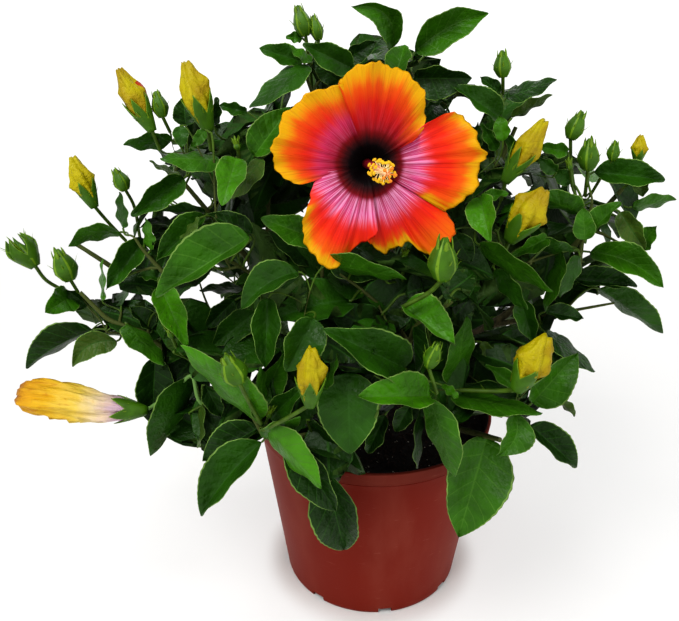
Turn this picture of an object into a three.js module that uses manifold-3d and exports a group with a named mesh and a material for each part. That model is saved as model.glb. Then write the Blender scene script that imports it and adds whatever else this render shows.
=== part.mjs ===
// A hibiscus shrub growing in its nursery pot, with one flower open and one spent.
//
// Millimetres, +Z up. The origin is the centre of the pot's flat underside, and the
// open flower looks along -Y. The shrub is an assembly of separate solids: the pot,
// the soil in it, a short main stem, the boughs that spring from it, the uneven
// masses of foliage that the boughs carry, and the two large flowers.

import * as THREE from 'three';
import { mergeVertices } from 'three/addons/utils/BufferGeometryUtils.js';
import Module from 'manifold-3d';

const wasm = await Module();
wasm.setup();

// ---------------------------------------------------------------- driving dimensions

// The gap kept between any two solids.
const CLEARANCE = 0.35;

const POT = {
  height: 168,
  baseRadius: 82,
  shoulderRadius: 103.5,
  bandHeight: 12.5,
  bandStep: 1.4,
  wall: 2,
  floor: 2.5,
  edgeRound: 1.2,
  facets: 36,
};

const DRAIN_NOTCH = { count: 8, width: 12, height: 5, depth: 12, firstAngle: 280 };

// The soil's top is flat within stemDisc of the middle and rolls in crumbs beyond it.
const SOIL = { level: 151, crumb: 3, crumbSpacing: [13, 17], stemDisc: 26, rings: 3, facets: 20 };

const STEM = { footRadius: 15, waistRadius: 9.5, forkRadius: 7, forkHeight: 232, lean: 7, sides: 10 };

const LIMB = { sides: 6, steps: 4, rootShare: 0.6, tipShare: 0.65 };

// Each mass: its centre, its half sizes along X, Y and Z, how many lobes break up its
// outline and the turn (degrees) at which the first lobe stands.
const MASSES = {
  foliage_heart: { centre: [12, -12, 372], half: [56, 52, 42], lobes: 3, turn: 180 },
  foliage_top: { centre: [12, 4, 464], half: [74, 68, 48], lobes: 5, turn: 20 },
  foliage_top_left: { centre: [-82, -12, 416], half: [58, 66, 60], lobes: 4, turn: 75 },
  foliage_top_right: { centre: [104, -8, 420], half: [64, 68, 54], lobes: 4, turn: -40 },
  foliage_upper_left: { centre: [-152, -46, 390], half: [58, 58, 60], lobes: 4, turn: 110 },
  foliage_left_arm: { centre: [-234, -50, 334], half: [66, 54, 52], lobes: 4, turn: 175 },
  foliage_left_low: { centre: [-214, -62, 264], half: [64, 54, 46], lobes: 4, turn: 195 },
  foliage_centre_left: { centre: [-98, -118, 346], half: [62, 58, 58], lobes: 4, turn: 215 },
  foliage_low_left: { centre: [-126, -112, 230], half: [56, 54, 82], lobes: 4, turn: 250 },
  foliage_front_low: { centre: [-42, -140, 224], half: [46, 44, 92], lobes: 4, turn: 265 },
  foliage_front: { centre: [26, -136, 308], half: [60, 54, 58], lobes: 4, turn: 290 },
  foliage_low_right: { centre: [92, -126, 216], half: [60, 52, 86], lobes: 4, turn: 300 },
  foliage_right_front: { centre: [106, -100, 342], half: [60, 58, 56], lobes: 4, turn: 325 },
  foliage_right: { centre: [184, -28, 378], half: [62, 62, 50], lobes: 4, turn: 350 },
  foliage_right_low: { centre: [184, -50, 294], half: [60, 60, 50], lobes: 4, turn: 10 },
  foliage_back_top: { centre: [4, 96, 412], half: [76, 64, 62], lobes: 5, turn: 90 },
  foliage_back_left: { centre: [-144, 74, 342], half: [80, 76, 70], lobes: 5, turn: 130 },
  foliage_back_right: { centre: [140, 84, 338], half: [78, 76, 70], lobes: 5, turn: 55 },
  foliage_back: { centre: [-4, 156, 308], half: [80, 56, 64], lobes: 5, turn: 85 },
  foliage_back_low_left: { centre: [-128, 110, 232], half: [68, 62, 54], lobes: 4, turn: 140 },
  foliage_back_low_right: { centre: [118, 124, 226], half: [68, 60, 54], lobes: 4, turn: 45 },
};

// A mass swells from its core into its lobes; the waves keep any two sides unlike.
const LOBE = {
  core: 0.76,
  swell: 0.36,
  tightness: 5,
  rise: 0.6,
  wave: 0.06,
  waves: [5.1, 6.3, 5.7],
  detail: 2,
};

// Each bough: what it springs from, how far up that is (0 to 1), the mass that it feeds
// and how far it bows outwards. A bough starts at a share of its parent's thickness.
const BOUGHS = {
  bough_low_left: { from: 'main_stem', at: 0.36, feeds: 'foliage_low_left', bow: 6 },
  bough_back_low_right: { from: 'main_stem', at: 0.4, feeds: 'foliage_back_low_right', bow: 6 },
  bough_low_right: { from: 'main_stem', at: 0.48, feeds: 'foliage_low_right', bow: 6 },
  bough_back_left: { from: 'main_stem', at: 0.52, feeds: 'foliage_back_left', bow: 14 },
  bough_right: { from: 'main_stem', at: 0.62, feeds: 'foliage_right', bow: 18 },
  bough_left: { from: 'main_stem', at: 0.66, feeds: 'foliage_left_arm', bow: 16 },
  bough_back: { from: 'main_stem', at: 0.72, feeds: 'foliage_back', bow: 12 },
  bough_front: { from: 'main_stem', at: 0.76, feeds: 'foliage_front', bow: 14 },
  bough_upper_left: { from: 'main_stem', at: 0.84, feeds: 'foliage_upper_left', bow: 10 },
  bough_upper_right: { from: 'main_stem', at: 0.84, feeds: 'foliage_top_right', bow: 10 },
  bough_top: { from: 'main_stem', at: 0.97, feeds: 'foliage_top', bow: 0 },
  side_bough_front_low: { from: 'bough_low_left', at: 0.4, feeds: 'foliage_front_low', bow: 0 },
  side_bough_back_low_left: { from: 'bough_back_left', at: 0.3, feeds: 'foliage_back_low_left', bow: 0 },
  side_bough_left_low: { from: 'bough_left', at: 0.5, feeds: 'foliage_left_low', bow: 0 },
  side_bough_centre_left: { from: 'bough_upper_left', at: 0.35, feeds: 'foliage_centre_left', bow: 0 },
  side_bough_top_left: { from: 'bough_upper_left', at: 0.55, feeds: 'foliage_top_left', bow: 0 },
  side_bough_right_low: { from: 'bough_right', at: 0.42, feeds: 'foliage_right_low', bow: 0 },
  side_bough_right_front: { from: 'bough_upper_right', at: 0.35, feeds: 'foliage_right_front', bow: 0 },
  side_bough_back_right: { from: 'bough_back', at: 0.3, feeds: 'foliage_back_right', bow: 0 },
  side_bough_back_top: { from: 'bough_top', at: 0.4, feeds: 'foliage_back_top', bow: 0 },
  side_bough_heart: { from: 'bough_front', at: 0.3, feeds: 'foliage_heart', bow: 0 },
  open_flower_stalk: { from: 'open_flower', at: 0, feeds: 'foliage_heart', bow: 6 },
};

// The open flower: where its throat is, how it faces (degrees from -Y towards +X, and
// above level) and its petals, each at an angle round the throat, seen from the front.
const FLOWER = {
  throat: [-1, -114, 410],
  turn: 8,
  rise: 6,
  petals: {
    right: { angle: 8, length: 73, width: 60 },
    top: { angle: 86, length: 68, width: 60 },
    left: { angle: 158, length: 72, width: 62 },
    lowerLeft: { angle: 240, length: 72, width: 56 },
    lowerRight: { angle: 294, length: 64, width: 52 },
  },
  petalThickness: 10,
  dishDepth: 8,
  dishRings: [0, 0.45, 0.9],
  dishFacets: 35,
  columnLength: 46,
  columnRadius: 7,
  calyxLength: 26,
  calyxRadius: 8,
};

// The spent flower hangs on as a rolled tube: radii from its calyx to its ragged tip.
const SPENT_FLOWER = {
  route: [[-176, -108, 224], [-206, -108, 226], [-240, -106, 226], [-276, -102, 222]],
  radii: [4, 9, 8, 13, 15, 12, 7],
  sides: 10,
};

// ------------------------------------------------------------------------- materials

function plain(color, roughness) {
  return new THREE.MeshStandardMaterial({ color, roughness, metalness: 0 });
}

const terracottaPlastic = plain(0x7a3224, 0.42);
const darkSoil = plain(0x1d1813, 0.95);
const brownBark = plain(0x6b5138, 0.85);
const greenLeaf = plain(0x2f6a1f, 0.45);
const orangePetal = plain(0xf0501c, 0.6);
const fadedPetal = plain(0xe8b45a, 0.75);

// -------------------------------------------------------------------- solid handling

// A manifold solid from a closed geometry: seams are merged and the flat slivers at
// the poles are dropped.
function toSolid(geometry) {
  const bare = new THREE.BufferGeometry();
  bare.setAttribute('position', geometry.getAttribute('position').clone());
  bare.setIndex(geometry.getIndex());
  const merged = mergeVertices(bare, 1e-4);
  const corners = merged.getIndex().array;
  const kept = [];
  for (let i = 0; i < corners.length; i += 3) {
    const [a, b, c] = corners.slice(i, i + 3);
    if (a !== b && b !== c && c !== a) kept.push(a, b, c);
  }
  return new wasm.Manifold(new wasm.Mesh({
    numProp: 3,
    vertProperties: new Float32Array(merged.getAttribute('position').array),
    triVerts: new Uint32Array(kept),
  }));
}

function toMesh(name, solid, material) {
  const { vertProperties, triVerts } = solid.getMesh();
  const geometry = new THREE.BufferGeometry();
  geometry.setAttribute('position', new THREE.BufferAttribute(vertProperties, 3));
  geometry.setIndex(new THREE.BufferAttribute(triVerts, 1));
  const mesh = new THREE.Mesh(geometry, material);
  mesh.name = name;
  return mesh;
}

function vector([x, y, z]) {
  return new THREE.Vector3(x, y, z);
}

// ------------------------------------------------------------------------------- pot

function potRadiusAt(height) {
  const slope = (POT.shoulderRadius - POT.baseRadius) / (POT.height - POT.bandHeight);
  return POT.baseRadius + slope * height;
}

// The side view of the pot's wall, from the middle of the underside, up the outside,
// over the rim band and down the inside to the middle of the floor.
function potProfile() {
  const { height, bandHeight, bandStep, wall, floor, edgeRound } = POT;
  const bandFoot = height - bandHeight;
  const outline = [
    [0, 0],
    [potRadiusAt(0) - edgeRound, 0],
    [potRadiusAt(edgeRound), edgeRound],
    [potRadiusAt(bandFoot), bandFoot],
    [potRadiusAt(bandFoot) + bandStep, bandFoot + edgeRound],
    [potRadiusAt(height) + bandStep, height - edgeRound],
    [potRadiusAt(height) + bandStep - edgeRound, height],
    [potRadiusAt(height) - wall, height],
    [potRadiusAt(floor) - wall, floor],
    [0, floor],
  ];
  return outline.map(([radius, z]) => new THREE.Vector2(radius, z));
}

// A lathe turned about +Z.
function turned(profile, facets) {
  return new THREE.LatheGeometry(profile, facets).rotateX(Math.PI / 2);
}

function drainNotch(index) {
  const { count, width, height, depth, firstAngle } = DRAIN_NOTCH;
  const angle = THREE.MathUtils.degToRad(firstAngle + (index * 360) / count);
  const block = new THREE.BoxGeometry(depth, width, 2 * height);
  block.translate(potRadiusAt(0), 0, 0);
  block.rotateZ(angle);
  return toSolid(block);
}

function makePot() {
  let pot = toSolid(turned(potProfile(), POT.facets));
  for (let index = 0; index < DRAIN_NOTCH.count; index += 1) {
    pot = pot.subtract(drainNotch(index));
  }
  return pot;
}

function makeSoil() {
  const { level, crumb, crumbSpacing, stemDisc, rings, facets } = SOIL;
  const insideAt = (z) => potRadiusAt(z) - POT.wall - CLEARANCE - POT.edgeRound;
  const foot = POT.floor + CLEARANCE;
  const edge = insideAt(level);
  const profile = [new THREE.Vector2(0, foot), new THREE.Vector2(insideAt(foot), foot)];
  for (let ring = 0; ring <= rings; ring += 1) {
    profile.push(new THREE.Vector2(THREE.MathUtils.lerp(edge, stemDisc, ring / rings), level));
  }
  profile.push(new THREE.Vector2(0, level));
  const geometry = turned(profile, facets);
  const position = geometry.getAttribute('position');
  for (let i = 0; i < position.count; i += 1) {
    const [x, y, z] = [position.getX(i), position.getY(i), position.getZ(i)];
    if (z > level - 1 && Math.hypot(x, y) > stemDisc + 1) {
      const roll = Math.sin(x / crumbSpacing[0]) * Math.cos(y / crumbSpacing[1]);
      position.setZ(i, level + crumb * roll);
    }
  }
  return toSolid(geometry);
}

// --------------------------------------------------------------------- stem and boughs

// A fixed direction well off a route's chord, so that sections don't turn along a limb.
function sectionReference(route) {
  const chord = route.getPointAt(1).sub(route.getPointAt(0));
  const upright = Math.abs(chord.z) > 0.8 * chord.length();
  return upright ? new THREE.Vector3(0, 1, 0) : new THREE.Vector3(0, 0, 1);
}

// A round limb whose radius follows a list along a smooth route. grow thickens it and
// lengthens its far end, to cut a neighbour back to a clear gap.
function limbSolid({ route, radii, sides }, grow = 0) {
  const steps = radii.length - 1;
  const profile = [new THREE.Vector2(0, 0)];
  radii.forEach((radius, step) => profile.push(new THREE.Vector2(radius + grow, step / steps)));
  profile.push(new THREE.Vector2(0, 1));
  const geometry = new THREE.LatheGeometry(profile, sides);
  const position = geometry.getAttribute('position');
  const reference = sectionReference(route);
  const side = new THREE.Vector3();
  const across = new THREE.Vector3();
  for (let i = 0; i < position.count; i += 1) {
    const along = THREE.MathUtils.clamp(position.getY(i), 0, 1);
    const tangent = route.getTangentAt(along);
    side.crossVectors(reference, tangent).normalize();
    across.crossVectors(tangent, side);
    const place = route.getPointAt(along);
    place.addScaledVector(side, position.getX(i));
    place.addScaledVector(across, -position.getZ(i));
    if (along === 1) place.addScaledVector(tangent, grow);
    position.setXYZ(i, place.x, place.y, place.z);
  }
  return toSolid(geometry);
}

function mainStem() {
  const { forkHeight, lean, footRadius, waistRadius, forkRadius } = STEM;
  const foot = SOIL.level - footRadius / 2;
  const middle = (foot + forkHeight) / 2;
  const route = new THREE.CatmullRomCurve3([
    new THREE.Vector3(0, 0, foot),
    new THREE.Vector3(lean * 0.3, 0, middle),
    new THREE.Vector3(lean, 0, forkHeight),
  ]);
  const flare = [footRadius, (footRadius + waistRadius) / 2, waistRadius];
  const taper = [0.35, 0.7, 1].map((t) => THREE.MathUtils.lerp(waistRadius, forkRadius, t));
  return { route, radii: [...flare, ...taper], sides: STEM.sides };
}

// Everything below the flat cut that the stem stands on.
function underGround() {
  const { footRadius } = STEM;
  const block = new THREE.BoxGeometry(4 * footRadius, 4 * footRadius, 2 * footRadius);
  block.translate(0, 0, SOIL.level + CLEARANCE - footRadius);
  return toSolid(block);
}

function radiusAt({ radii }, along) {
  const step = Math.min(Math.floor(along * (radii.length - 1)), radii.length - 2);
  return THREE.MathUtils.lerp(radii[step], radii[step + 1], along * (radii.length - 1) - step);
}

function makeBough({ from, at, feeds, bow }, limbs) {
  const parent = limbs[from];
  const start = parent.route.getPointAt(at);
  const end = vector(MASSES[feeds].centre);
  const middle = start.clone().lerp(end, 0.5);
  const outwards = new THREE.Vector3(middle.x, middle.y, 0).normalize();
  middle.addScaledVector(outwards, bow);
  middle.z -= bow;
  const root = LIMB.rootShare * radiusAt(parent, at);
  const radii = Array.from({ length: LIMB.steps + 1 }, (_, step) => (
    THREE.MathUtils.lerp(root, LIMB.tipShare * root, step / LIMB.steps)
  ));
  const route = new THREE.CatmullRomCurve3([start, middle, end]);
  return { route, radii, sides: LIMB.sides };
}

// ---------------------------------------------------------------------------- foliage

// The directions in which a mass's lobes stand out, alternately above and below.
function lobeDirections(lobes, turn) {
  return Array.from({ length: lobes }, (_, lobe) => {
    const angle = THREE.MathUtils.degToRad(turn) + (lobe * 2 * Math.PI) / lobes;
    const rise = lobe % 2 === 0 ? LOBE.rise : -LOBE.rise;
    return new THREE.Vector3(Math.cos(angle), Math.sin(angle), rise).normalize();
  });
}

function massSolid({ centre, half, lobes, turn }, grow = 0) {
  const ball = new THREE.IcosahedronGeometry(1, LOBE.detail);
  const position = ball.getAttribute('position');
  const directions = lobeDirections(lobes, turn);
  const size = vector(half).addScalar(grow);
  const middle = vector(centre);
  const spot = new THREE.Vector3();
  for (let i = 0; i < position.count; i += 1) {
    spot.fromBufferAttribute(position, i);
    let reach = LOBE.core;
    for (const direction of directions) {
      reach += LOBE.swell * Math.exp(LOBE.tightness * (spot.dot(direction) - 1));
    }
    const ripples = spot.clone().multiply(vector(LOBE.waves));
    const wave = Math.sin(ripples.x + turn) + Math.sin(ripples.y - turn) + Math.sin(ripples.z);
    spot.multiplyScalar(reach + LOBE.wave * wave).multiply(size).add(middle);
    position.setXYZ(i, spot.x, spot.y, spot.z);
  }
  return toSolid(ball);
}

// ---------------------------------------------------------------------------- flowers

// Turns geometry made in the flower's own frame (X right, Y up, Z towards the viewer)
// into place on the shrub.
function placeFlowerGeometry(geometry) {
  const { throat, turn, rise } = FLOWER;
  geometry.rotateX(Math.PI / 2);
  geometry.rotateX(-THREE.MathUtils.degToRad(rise));
  geometry.rotateZ(THREE.MathUtils.degToRad(turn));
  geometry.translate(...throat);
  return geometry;
}

// How far the bloom reaches at an angle: each petal is an ellipse through the throat.
function bloomReach(angle) {
  const reaches = Object.values(FLOWER.petals).map((petal) => {
    const off = angle - THREE.MathUtils.degToRad(petal.angle);
    const slimness = (petal.length / petal.width) ** 2;
    return (petal.length * Math.cos(off)) / (Math.cos(off) ** 2 + slimness * Math.sin(off) ** 2);
  });
  return Math.max(...reaches);
}

// The five petals as one dish: a disc turned about the throat and drawn out to the
// petals' outline.
function dishSolid(grow) {
  const { dishFacets, dishRings, dishDepth, petalThickness } = FLOWER;
  const side = (offset) => (share) => new THREE.Vector2(share, dishDepth * share ** 2 + offset);
  const back = dishRings.map(side(-petalThickness / 2 - grow));
  const front = dishRings.map(side(petalThickness / 2 + grow)).reverse();
  const dish = turned([...back, side(0)(1), ...front], dishFacets);
  const position = dish.getAttribute('position');
  for (let i = 0; i < position.count; i += 1) {
    const [x, y] = [position.getX(i), position.getY(i)];
    const reach = bloomReach(Math.atan2(y, x)) + grow;
    position.setXYZ(i, x * reach, y * reach, position.getZ(i));
  }
  return toSolid(placeFlowerGeometry(dish));
}

function flowerRod(radiusFront, radiusBack, length, grow) {
  const rod = new THREE.CylinderGeometry(radiusFront + grow, radiusBack + grow, length + 2 * grow, 6);
  rod.rotateX(Math.PI / 2);
  return rod;
}

function openFlowerSolid(grow = 0) {
  const { columnLength, columnRadius, calyxLength, calyxRadius } = FLOWER;
  const column = flowerRod(columnRadius, columnRadius * 0.5, columnLength, grow);
  column.translate(0, 0, columnLength / 2);
  const calyx = flowerRod(calyxRadius, calyxRadius * 0.5, calyxLength, grow);
  calyx.translate(0, 0, -calyxLength / 2);
  const rods = [column, calyx].map((rod) => toSolid(placeFlowerGeometry(rod)));
  return rods.reduce((whole, rod) => whole.add(rod), dishSolid(grow));
}

// The calyx of the open flower as a limb, for its stalk to spring from.
function openFlowerCalyx() {
  const { calyxLength, calyxRadius } = FLOWER;
  const line = new THREE.BufferGeometry().setFromPoints([
    new THREE.Vector3(0, 0, -calyxLength * 0.9),
    new THREE.Vector3(0, 0, 0),
  ]);
  const ends = placeFlowerGeometry(line).getAttribute('position');
  const [back, front] = [0, 1].map((end) => new THREE.Vector3().fromBufferAttribute(ends, end));
  return { route: new THREE.LineCurve3(back, front), radii: [calyxRadius * 0.5, calyxRadius] };
}

function spentFlower() {
  const { route, radii, sides } = SPENT_FLOWER;
  return { route: new THREE.CatmullRomCurve3(route.map(vector)), radii, sides };
}

// --------------------------------------------------------------------------- assembly

function buildShrub() {
  const shrub = new THREE.Group();
  shrub.add(toMesh('pot', makePot(), terracottaPlastic));
  shrub.add(toMesh('soil', makeSoil(), darkSoil));

  const stem = mainStem();
  shrub.add(toMesh('main_stem', limbSolid(stem).subtract(underGround()), brownBark));
  shrub.add(toMesh('open_flower', openFlowerSolid(), orangePetal));
  shrub.add(toMesh('spent_flower', limbSolid(spentFlower()), fadedPetal));

  // taken is all the room that is already filled, with the clearance round it.
  let taken = limbSolid(stem, CLEARANCE);
  taken = taken.add(openFlowerSolid(CLEARANCE)).add(limbSolid(spentFlower(), CLEARANCE));

  // A bough is cut clear of what was made before it and stops at the mass it feeds.
  const limbs = { main_stem: stem, open_flower: openFlowerCalyx() };
  for (const [name, bough] of Object.entries(BOUGHS)) {
    limbs[name] = makeBough(bough, limbs);
    const clear = limbSolid(limbs[name]).subtract(taken);
    const stopped = clear.subtract(massSolid(MASSES[bough.feeds], CLEARANCE));
    shrub.add(toMesh(name, stopped, brownBark));
    taken = taken.add(limbSolid(limbs[name], CLEARANCE));
  }

  // A mass is cut round the limbs and flowers, and then round the masses before it.
  for (const [name, mass] of Object.entries(MASSES)) {
    shrub.add(toMesh(name, massSolid(mass).subtract(taken), greenLeaf));
    taken = taken.add(massSolid(mass, CLEARANCE));
  }
  return shrub;
}

export default buildShrub();
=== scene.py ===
"""A potted hibiscus shrub in flower, built round the fixed frame of its solids.

Every piece is made by its own operator. The plan of the shrub, which is its limbs,
twigs, leaves and buds, is worked out once and shared by the operators that need it.
Lengths in the tables are millimetres; the scene is in metres.
"""

import random
from functools import lru_cache
from math import acos, atan2, cos, exp, pi, radians, sin, sqrt
from types import SimpleNamespace

import bpy
import numpy as np
from bpy.props import FloatProperty, FloatVectorProperty, IntProperty, PointerProperty
from bpy.types import Operator, Panel, PropertyGroup, Scene
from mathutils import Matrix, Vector, noise


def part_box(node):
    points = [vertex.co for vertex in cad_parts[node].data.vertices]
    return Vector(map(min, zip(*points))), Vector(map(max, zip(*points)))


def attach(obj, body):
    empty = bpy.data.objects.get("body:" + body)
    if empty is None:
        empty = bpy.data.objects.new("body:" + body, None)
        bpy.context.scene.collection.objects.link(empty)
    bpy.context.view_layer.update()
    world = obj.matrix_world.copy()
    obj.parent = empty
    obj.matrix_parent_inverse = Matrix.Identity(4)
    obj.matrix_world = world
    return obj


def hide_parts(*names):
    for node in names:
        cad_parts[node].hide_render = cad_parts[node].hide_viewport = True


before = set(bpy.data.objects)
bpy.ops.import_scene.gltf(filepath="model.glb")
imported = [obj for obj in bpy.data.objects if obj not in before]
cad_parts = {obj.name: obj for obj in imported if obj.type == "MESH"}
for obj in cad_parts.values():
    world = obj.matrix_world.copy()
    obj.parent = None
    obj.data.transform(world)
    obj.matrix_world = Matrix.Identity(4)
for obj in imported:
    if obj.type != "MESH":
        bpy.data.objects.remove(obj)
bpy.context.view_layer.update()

bl_info = {
    "name": "Potted Hibiscus Shrub",
    "version": (1, 0, 0),
    "blender": (4, 5, 0),
    "location": "View3D > Sidebar > Hibiscus",
    "description": "Grows a flowering hibiscus shrub in its nursery pot",
    "category": "Object",
}

MM = 0.001
SEED = 41

# ---- the main sight line

# Where the eye stands, how it looks down and to the left, and the view that it has.
EYE = np.array([0.0, -0.566, 0.501])
LOOK_DOWN = radians(22.9)
LOOK_LEFT = radians(3.16)
FOCAL_DOTS = 707.0
VIEW_DOTS = (679, 621)
SENSOR_WIDTH = 36.0
norm = np.linalg.norm


def unit(vector):
    return vector / norm(vector)


LEVEL = np.array([-sin(LOOK_LEFT), cos(LOOK_LEFT), 0.0])
UPRIGHT = np.array([0.0, 0.0, 1.0])
RIGHT = np.array([cos(LOOK_LEFT), sin(LOOK_LEFT), 0.0])
AHEAD = LEVEL * cos(LOOK_DOWN) - UPRIGHT * sin(LOOK_DOWN)
ABOVE = LEVEL * sin(LOOK_DOWN) + UPRIGHT * cos(LOOK_DOWN)


def sight(dots, out):
    """The place seen at a point of the view, on the plane y = out millimetres."""
    across = (dots[0] - VIEW_DOTS[0] / 2) / FOCAL_DOTS
    down = (dots[1] - VIEW_DOTS[1] / 2) / FOCAL_DOTS
    ray = AHEAD + RIGHT * across - ABOVE * down
    return EYE + ray * (out * MM - EYE[1]) / ray[1]


def seen(places):
    """View points and depths of an array of places."""
    offsets = np.asarray(places) - EYE
    depth = offsets @ AHEAD
    across = VIEW_DOTS[0] / 2 + FOCAL_DOTS * (offsets @ RIGHT) / depth
    down = VIEW_DOTS[1] / 2 - FOCAL_DOTS * (offsets @ ABOVE) / depth
    return np.stack([across, down], axis=-1), depth


def in_pairs(numbers):
    """Points from a flat row of their numbers."""
    return list(zip(numbers[::2], numbers[1::2]))


# ---- limbs, masses

POT = {"height": 168, "base": 82, "shoulder": 103.5, "band": 12.5, "step": 1.4, "wall": 2}
SOIL_LEVEL = 151
STEM = {"foot": 15, "waist": 9.5, "fork": 7, "fork_height": 232, "lean": 7}
# A limb's thickness at its root, as a share of its parent's, and at its tip, of its root's.
LIMB = {"root_share": 0.6, "tip_share": 0.65, "stations": 40}

# The middle of each mass of foliage, which its bough runs into.
MASSES = {
    "heart": (12, -12, 372), "top": (12, 4, 464), "top_left": (-82, -12, 416),
    "top_right": (104, -8, 420), "upper_left": (-152, -46, 390), "left_arm": (-234, -50, 334),
    "left_low": (-214, -62, 264), "centre_left": (-98, -118, 346), "low_left": (-126, -112, 230),
    "front_low": (-42, -140, 224), "front": (26, -136, 308), "low_right": (92, -126, 216),
    "right_front": (106, -100, 342), "right": (184, -28, 378), "right_low": (184, -50, 294),
    "back_top": (4, 96, 412), "back_left": (-144, 74, 342), "back_right": (140, 84, 338),
    "back": (-4, 156, 308), "back_low_left": (-128, 110, 232), "back_low_right": (118, 124, 226),
}

# Each bough, by the mass that it feeds: its parent, how far up that it springs, its bow.
BOUGHS = {
    "low_left": ("stem", 0.36, 6), "back_low_right": ("stem", 0.4, 6), "low_right": ("stem", 0.48, 6),
    "back_left": ("stem", 0.52, 14), "right": ("stem", 0.62, 18), "left_arm": ("stem", 0.66, 16),
    "back": ("stem", 0.72, 12), "front": ("stem", 0.76, 14), "upper_left": ("stem", 0.84, 10),
    "top_right": ("stem", 0.84, 10), "top": ("stem", 0.97, 0), "front_low": ("low_left", 0.4, 0),
    "back_low_left": ("back_left", 0.3, 0), "left_low": ("left_arm", 0.5, 0),
    "centre_left": ("upper_left", 0.35, 0), "top_left": ("upper_left", 0.55, 0),
    "right_low": ("right", 0.42, 0), "right_front": ("top_right", 0.35, 0),
    "back_right": ("back", 0.3, 0), "back_top": ("top", 0.4, 0), "heart": ("front", 0.3, 0),
}
# Boughs whose solids are named for the side that they lean to.
SIDE_NAMES = {"left_arm": "left", "top_right": "upper_right"}

# The open flower: its throat, its turn from -Y towards +X, its rise above level.
FLOWER = {"throat": (-6, -114, 411), "turn": 8, "rise": 6, "calyx": 26}


def limb_node(name):
    """The name of a limb's solid."""
    if name == "stem":
        return "main_stem"
    kind = "bough_" if BOUGHS[name][0] == "stem" else "side_bough_"
    return kind + SIDE_NAMES.get(name, name)


# ---- what stands out at the front

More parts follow.
